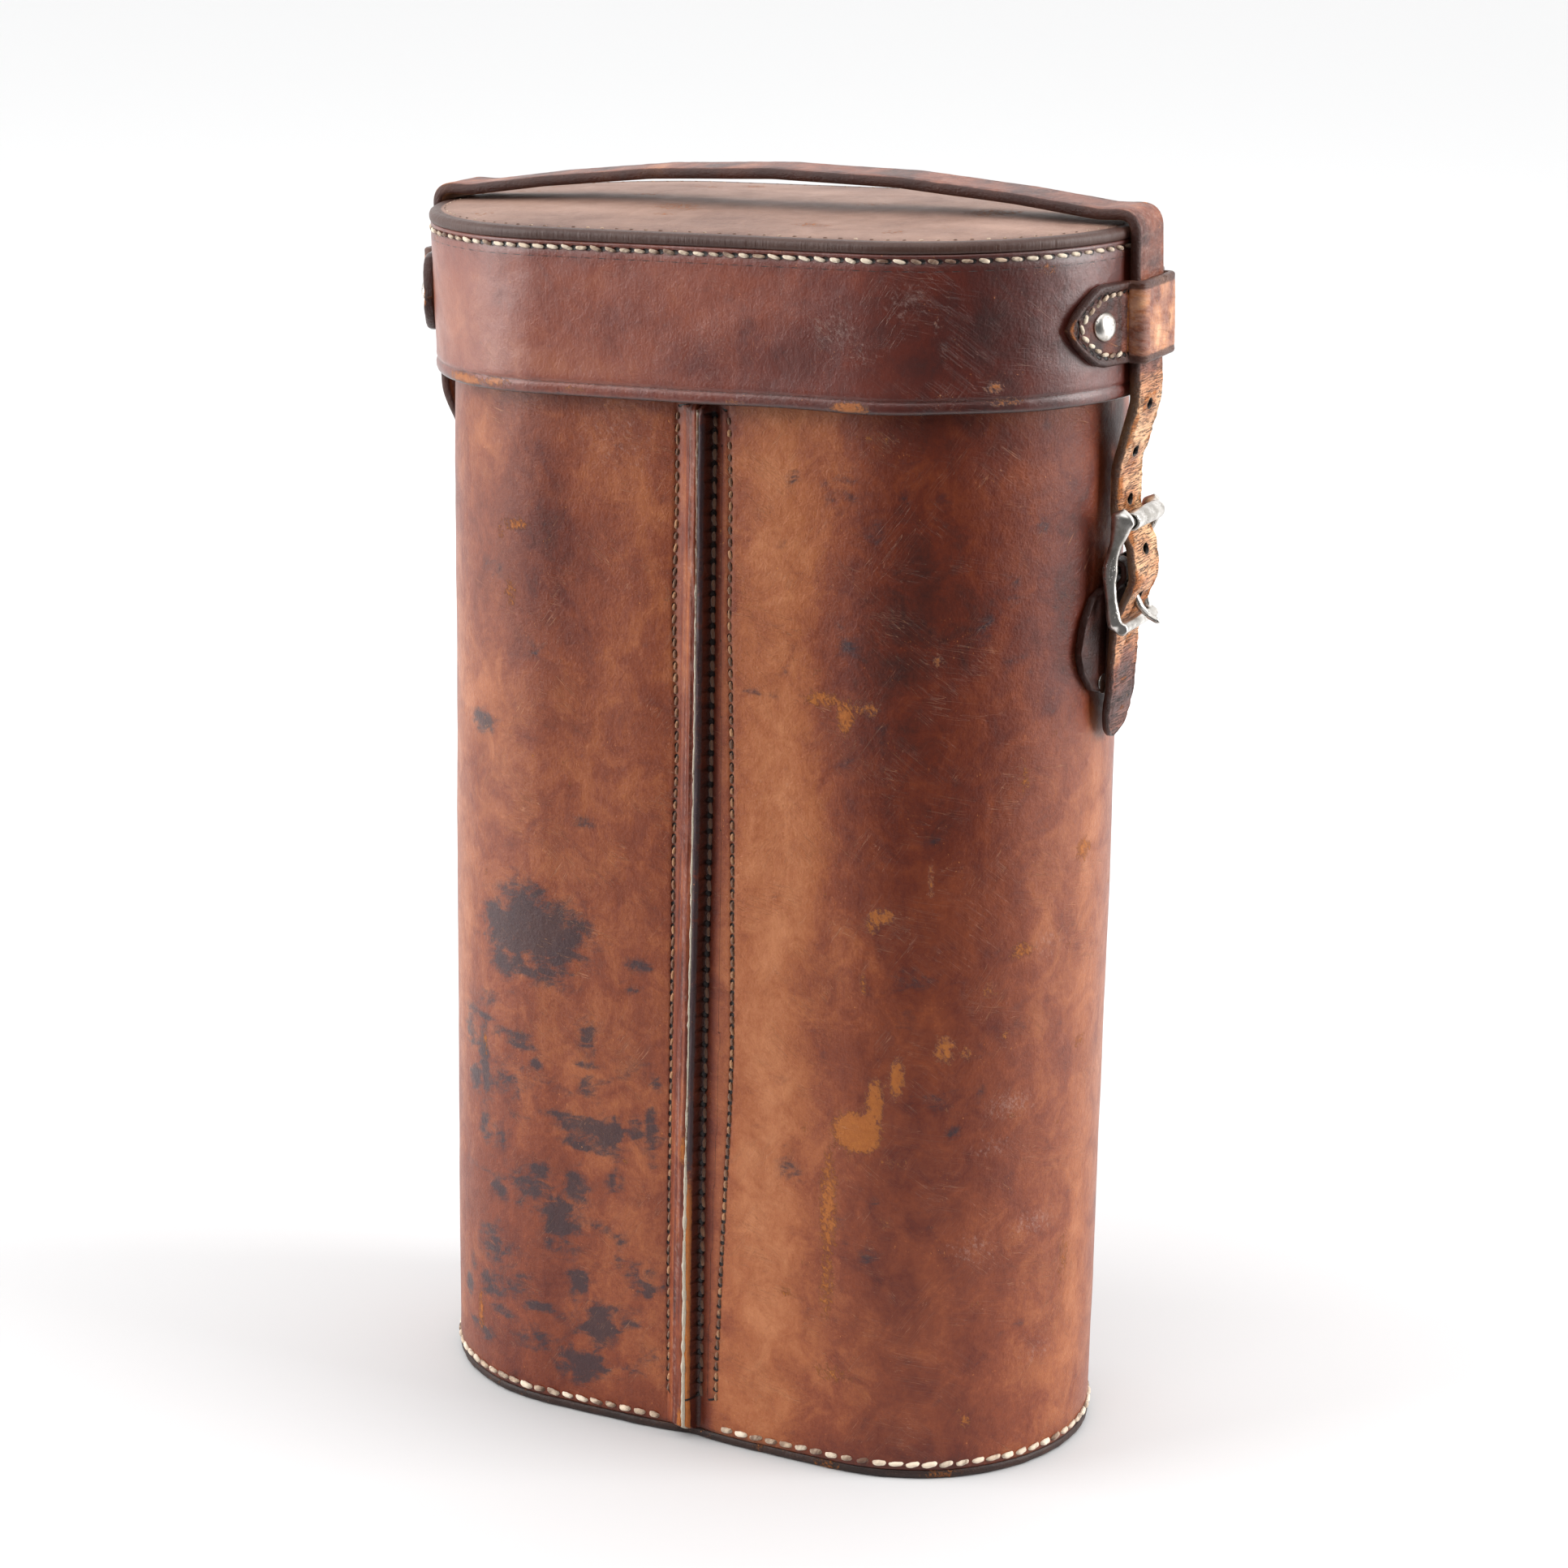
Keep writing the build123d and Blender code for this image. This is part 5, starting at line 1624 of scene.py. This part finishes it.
def anchor_stitches():
    """The row that sews the strap's left end to the wall, round three sides and across its top."""
    line = rounded([(-7.4, 262.0), (-7.4, 224.2), (7.4, 224.2), (7.4, 262.0), (-7.4, 262.0)], 260, 6)
    out = END_RADIUS + ANCHOR_THICK - 0.1
    angle = np.arcsin(line[:, 0] / out)
    path = np.stack([-FLAT - out * np.cos(angle), out * np.sin(angle), line[:, 1]], 1)
    normal = np.stack([-np.cos(angle), np.sin(angle), 0 * angle], 1)
    row = sew(path, normal, 3.6, 3.0, 0.55, 0.15, 164)
    return sewn_piece("anchor_stitches", [row], CREAM_THREAD, "case", "linen_thread")


# ------------------------------------------------------------------ carry strap

TAIL_TIP = box_mm("carry_strap")[0][2] + 1.6
ANCHOR_THICK = 2.3
ANCHOR_X = BODY_END + 1.65
ANCHOR_FOOT = 221.5
# Heights of the strap's holes: five at one pitch, down from the top one.
HOLES = [306.3 - 13.3 * k for k in range(5)]
POINT_LENGTH = 13.0


def strap_path():
    """The strap's middle line as (x, z), from its sewn left end over the lid to the tail at the right."""

    def lid_point(u, w):
        x, _, z = lid_to_world([(u, 0, w)])[0]
        return x, z

    def over(side):
        return [lid_point(side * u, w) for u, w in ((96.0, 28.4), (STRAP_OUT, 28.7), (STRAP_OUT, -21.5))]

    arch = [lid_point(u, w) for u, w in ((-72, 31.6), (-38, 34.8), (0, 36.0), (38, 34.8), (72, 31.6))]
    sewn = [(-ANCHOR_X - 4.6, 292.0), (-ANCHOR_X, 279.0), (-ANCHOR_X, ANCHOR_FOOT)]
    buckled = [
        (102.7, 289.0), (103.0, 276.2), (107.9, 268.2), (109.2, 258.6), (104.2, 246.5), (103.4, 226.0),
        (101.7, TAIL_TIP)
    ]
    radii = [14, 16, 10, 5, 24] + [60] * 5 + [24, 5, 10, 14, 7, 8, 7, 8, 14]
    return filleted((over(-1) + sewn)[::-1] + arch + over(1) + buckled, radii, 0.8)


def carry_strap():
    """The long strap: sewn down at the left, dark over the lid, pale and cracked down to its pointed tail."""
    path = strap_path()
    tangent, run = frames(path)
    tail = run[-1] - run
    ups = np.stack([-tangent[:, 1], 0 * run, tangent[:, 0]], 1)
    centres = np.stack(
        [path[:, 0], 0.25 * noise(run / 31, 2.0, seed=171) * smooth(25, 60, tail), path[:, 1]], 1
    )
    sides = np.broadcast_to(np.array([0.0, 1, 0]), centres.shape)
    t = np.clip(tail / POINT_LENGTH, 0, 1)
    half = 9.5 * np.sqrt(np.clip(1 - (1 - t) ** 2.1, 0.001, 1))
    half = half * (1 - 0.012 * np.abs(noise(run / 12, 5.0, seed=172)))
    thick = (2.35 + 0.8 * smooth(45, 100, tail)) * (0.55 + 0.45 * smooth(0, 3, tail))
    thick = thick * (1 - 0.04 * np.abs(noise(run / 15, 1.0, seed=173)))
    sewn = smooth(291, 279, path[:, 1]) * (path[:, 0] < 0)
    thick = thick + (ANCHOR_THICK - 3.1) * sewn
    worn = smooth(112, 100, tail)[:, None]

    def relief(edge, x):
        cracks = fbm(run[:, None] / 1.3, x / 5, seed=174, octaves=3)
        return (
            -0.22 * bump(edge, 2.0, 0.5) + 0.24 * cracks * worn
            + 0.06 * fbm(run[:, None] / 4, x / 4, seed=175)
        )

    rings, edge, across, face = strip(centres, sides, ups, half, thick, 19, 1.35, relief)
    hug = 1.1 * (3.1 - ANCHOR_THICK) / 2 + END_RADIUS - np.sqrt(END_RADIUS ** 2 - across ** 2)
    rings = rings - ups[:, None] * (hug * sewn[:, None])[..., None]
    height = centres[:, 2][:, None] + 0 * edge
    hole = np.full_like(edge, 30.0)
    for z in HOLES:
        hole = np.minimum(
            hole, np.hypot(across / 1.4, (height - z) / 1.2) + 60 * smooth(120, 130, tail)[:, None]
        )
    tip = bump(tail, 0, 4.0)[:, None]
    flake = np.clip(fbm(run[:, None] / 7, across / 8, seed=176) + 0.5, 0, 1)
    under = smooth(-0.7, -1.0, face)
    top = np.clip(face, 0, 1)
    heading = np.unwrap(np.arctan2(tangent[:, 1], tangent[:, 0]))
    bend = (smooth(0.02, 0.12, np.abs(np.gradient(heading, run))) * smooth(80, 100, tail))[:, None]
    tone = 0.72 - 0.6 * worn + 0.55 * worn * smooth(36, 12, tail)[:, None] - 0.12 * bend
    tone = (
        tone + 0.22 * fbm(run[:, None] / 9, across / 15, seed=177) + 0.2 * bump(hole, 0, 3.0) - 0.12 * under
    )
    wear = 0.7 * worn * flake * top * smooth(18, 36, tail)[:, None] + 0.62 * bend * flake * top
    wear = wear + 0.5 * top * bump(edge, 1.4, 1.1) * flake * (0.35 + 0.65 * worn)
    facts = {
        "lay": np.stack([0.5 * across, 1.15 * run[:, None] + 0 * edge, face * 3], -1),
        "tone": tone,
        "edge": np.clip(
            bump(edge, 0.0, 1.0) * (1 - 0.3 * worn * flake) + 0.7 * bump(hole, 0, 1.7) + 0.45 * tip, 0, 1
        ),
        "wear": np.clip(wear, 0, 1),
        "bloom": 0.5 * (1 - worn) * top,
        "crack": worn * top,
        "inside": 0.55 * under,
        "scuff": 0.6 * worn * top * np.clip(fbm(run[:, None] / 2.2, across / 9, seed=178), 0, 1),
    }
    piece = leather_strip("carry_strap_leather", rings, facts, STRAP_LEATHER)
    cutters = []
    angle = np.linspace(0, 2 * pi, 20, endpoint=False)
    for z in HOLES:
        oval = np.stack([0 * angle, 1.9 * np.cos(angle), z + 1.55 * np.sin(angle)], 1)
        cutters.append(solid_tube(np.array([oval + (x, 0, 0) for x in (96.5, 118.0)])))
    cut(piece, *join(cutters))
    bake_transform(piece)
    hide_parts("carry_strap")
    return piece


# ------------------------------------------------------------------ build

for tag, sign in SIDES.items():
    body_panel(f"body_panel_{tag}", sign)
    keeper(f"keeper_{tag}", sign)
for tag, sign in {"front": -1, "back": 1}.items():
    seam_welt(f"{tag}_seam_welt", sign)
    seam_rows(f"{tag}_seam_thread", sign)
base_sole()
base_row()
divider()
chape()
chape_rivets()
anchor_rivets()
anchor_stitches()
buckle_frame()
buckle_roller()
buckle_tongue()
keeper_rivets()
lid_band()
lid_top()
lid_rows()
carry_strap()


# ------------------------------------------------------------------ floor, light and camera

# Places in metres, angles in radians, and the focal length in millimetres for a 36 mm sensor.
FLOOR_TURN = radians(25.4)
LIGHTS_AIM = (0, 0, 0.17)
ROOM_WHITE = 1.3
ROOM_DARK = 0.1
BACKDROP = 0.985
CAMERA_PLACE = (0.4584, -0.9625, 0.4918)
CAMERA_FORWARD = (-0.412, 0.868, -0.277)
CAMERA_ROLL = 0.017
FOCAL_LENGTH = 87.9


def floor():
    """A wide flat floor of pale paper, painted darker grey near the case as painted shade, fading to white
    far from it.
    """
    s = Shader("paper")
    lay = s.node("ShaderNodeTexCoord").outputs["Object"]
    fleck = s.noise(lay, 900.0, 2.0, 0.6)
    # Painted shade: the paper is darker near the case and whiter farther away.
    far = s.step(s.node("ShaderNodeVectorMath", _operation="LENGTH", Vector=lay).outputs["Value"], 0.1, 1.1)
    colour = s.mix(far, (0.6, 0.597, 0.6), (0.9, 0.9, 0.902))
    colour = s.mix(s.times(fleck, 0.04), colour, srgb(200, 200, 202))
    s.bumps((fleck, 0.00002))
    material = s.finish(colour, 0.75)
    y = np.r_[np.linspace(-330, 1500, 20), np.linspace(1800, 9000, 20)]
    x = np.linspace(-4500, 4500, 20)
    x, y = np.meshgrid(x, y)
    faces = [face[::-1] for face in grid_faces(*x.shape, close_columns=False)]
    sheet = finish_mesh("floor", np.stack([x, y, 0 * x], -1).reshape(-1, 3), faces, material)
    sheet.rotation_euler = (0, 0, FLOOR_TURN)


def lamp(name, size, power, place_at):
    """A soft rectangular light that faces the middle of the case."""
    light = bpy.data.lights.new(name, "AREA")
    light.shape = "RECTANGLE"
    light.size, light.size_y = size
    light.energy = power
    holder = bpy.data.objects.new(name, light)
    holder.location = place_at
    holder.rotation_euler = (Vector(LIGHTS_AIM) - Vector(place_at)).to_track_quat("-Z", "Y").to_euler()
    bpy.context.scene.collection.objects.link(holder)


def surroundings():
    """A white room behind and beside the case, with the side towards the camera left dark."""
    world = bpy.data.worlds.new("room")
    world.use_nodes = True
    tree = world.node_tree
    sky = tree.nodes["Background"]
    sky.inputs["Color"].default_value = (1, 1, 1, 1)
    place_at = tree.nodes.new("ShaderNodeTexCoord")
    facing = tree.nodes.new("ShaderNodeVectorMath")
    facing.operation = "DOT_PRODUCT"
    facing.inputs[1].default_value = (0.43, -0.9, -0.25)
    fade = tree.nodes.new("ShaderNodeMapRange")
    fade.interpolation_type = "SMOOTHSTEP"
    for key, value in (("From Min", 0.0), ("From Max", 0.5), ("To Min", ROOM_WHITE), ("To Max", ROOM_DARK)):
        fade.inputs[key].default_value = value
    path = tree.nodes.new("ShaderNodeLightPath")
    seen = tree.nodes.new("ShaderNodeMix")
    seen.inputs[3].default_value = BACKDROP
    tree.links.new(place_at.outputs["Generated"], facing.inputs[0])
    tree.links.new(facing.outputs["Value"], fade.inputs["Value"])
    tree.links.new(path.outputs["Is Camera Ray"], seen.inputs[0])
    tree.links.new(fade.outputs[0], seen.inputs[2])
    tree.links.new(seen.outputs[0], sky.inputs["Strength"])
    bpy.context.scene.world = world
    bpy.context.scene.view_settings.view_transform = "Standard"
    bpy.context.scene.view_settings.look = "None"


def camera():
    """A long lens a little above the lid, turned towards the seam from the right."""
    lens = bpy.data.cameras.new("camera")
    lens.sensor_width = 36.0
    lens.lens = FOCAL_LENGTH
    lens.clip_start, lens.clip_end = 0.05, 20.0
    holder = bpy.data.objects.new("camera", lens)
    forward = Vector(CAMERA_FORWARD).normalized()
    right = forward.cross(Vector((0, 0, 1))).normalized()
    up = right.cross(forward)
    c, s = cos(CAMERA_ROLL), sin(CAMERA_ROLL)
    right, up = right * c + up * s, up * c - right * s
    turn = Matrix((right, up, -forward)).transposed()
    holder.matrix_world = Matrix.Translation(CAMERA_PLACE) @ turn.to_4x4()
    bpy.context.scene.collection.objects.link(holder)
    bpy.context.scene.camera = holder


floor()
lamp("left softbox", (1.2, 1.7), 34, (-1.5, -1.05, 0.82))
lamp("right softbox", (0.8, 1.4), 32, (1.6, 0.35, 0.8))
lamp("front fill", (1.6, 0.9), 12, (0.2, -1.7, 1.8))
lamp("overhead", (1.6, 1.6), 6, (0.1, -0.2, 2.1))
surroundings()
camera()
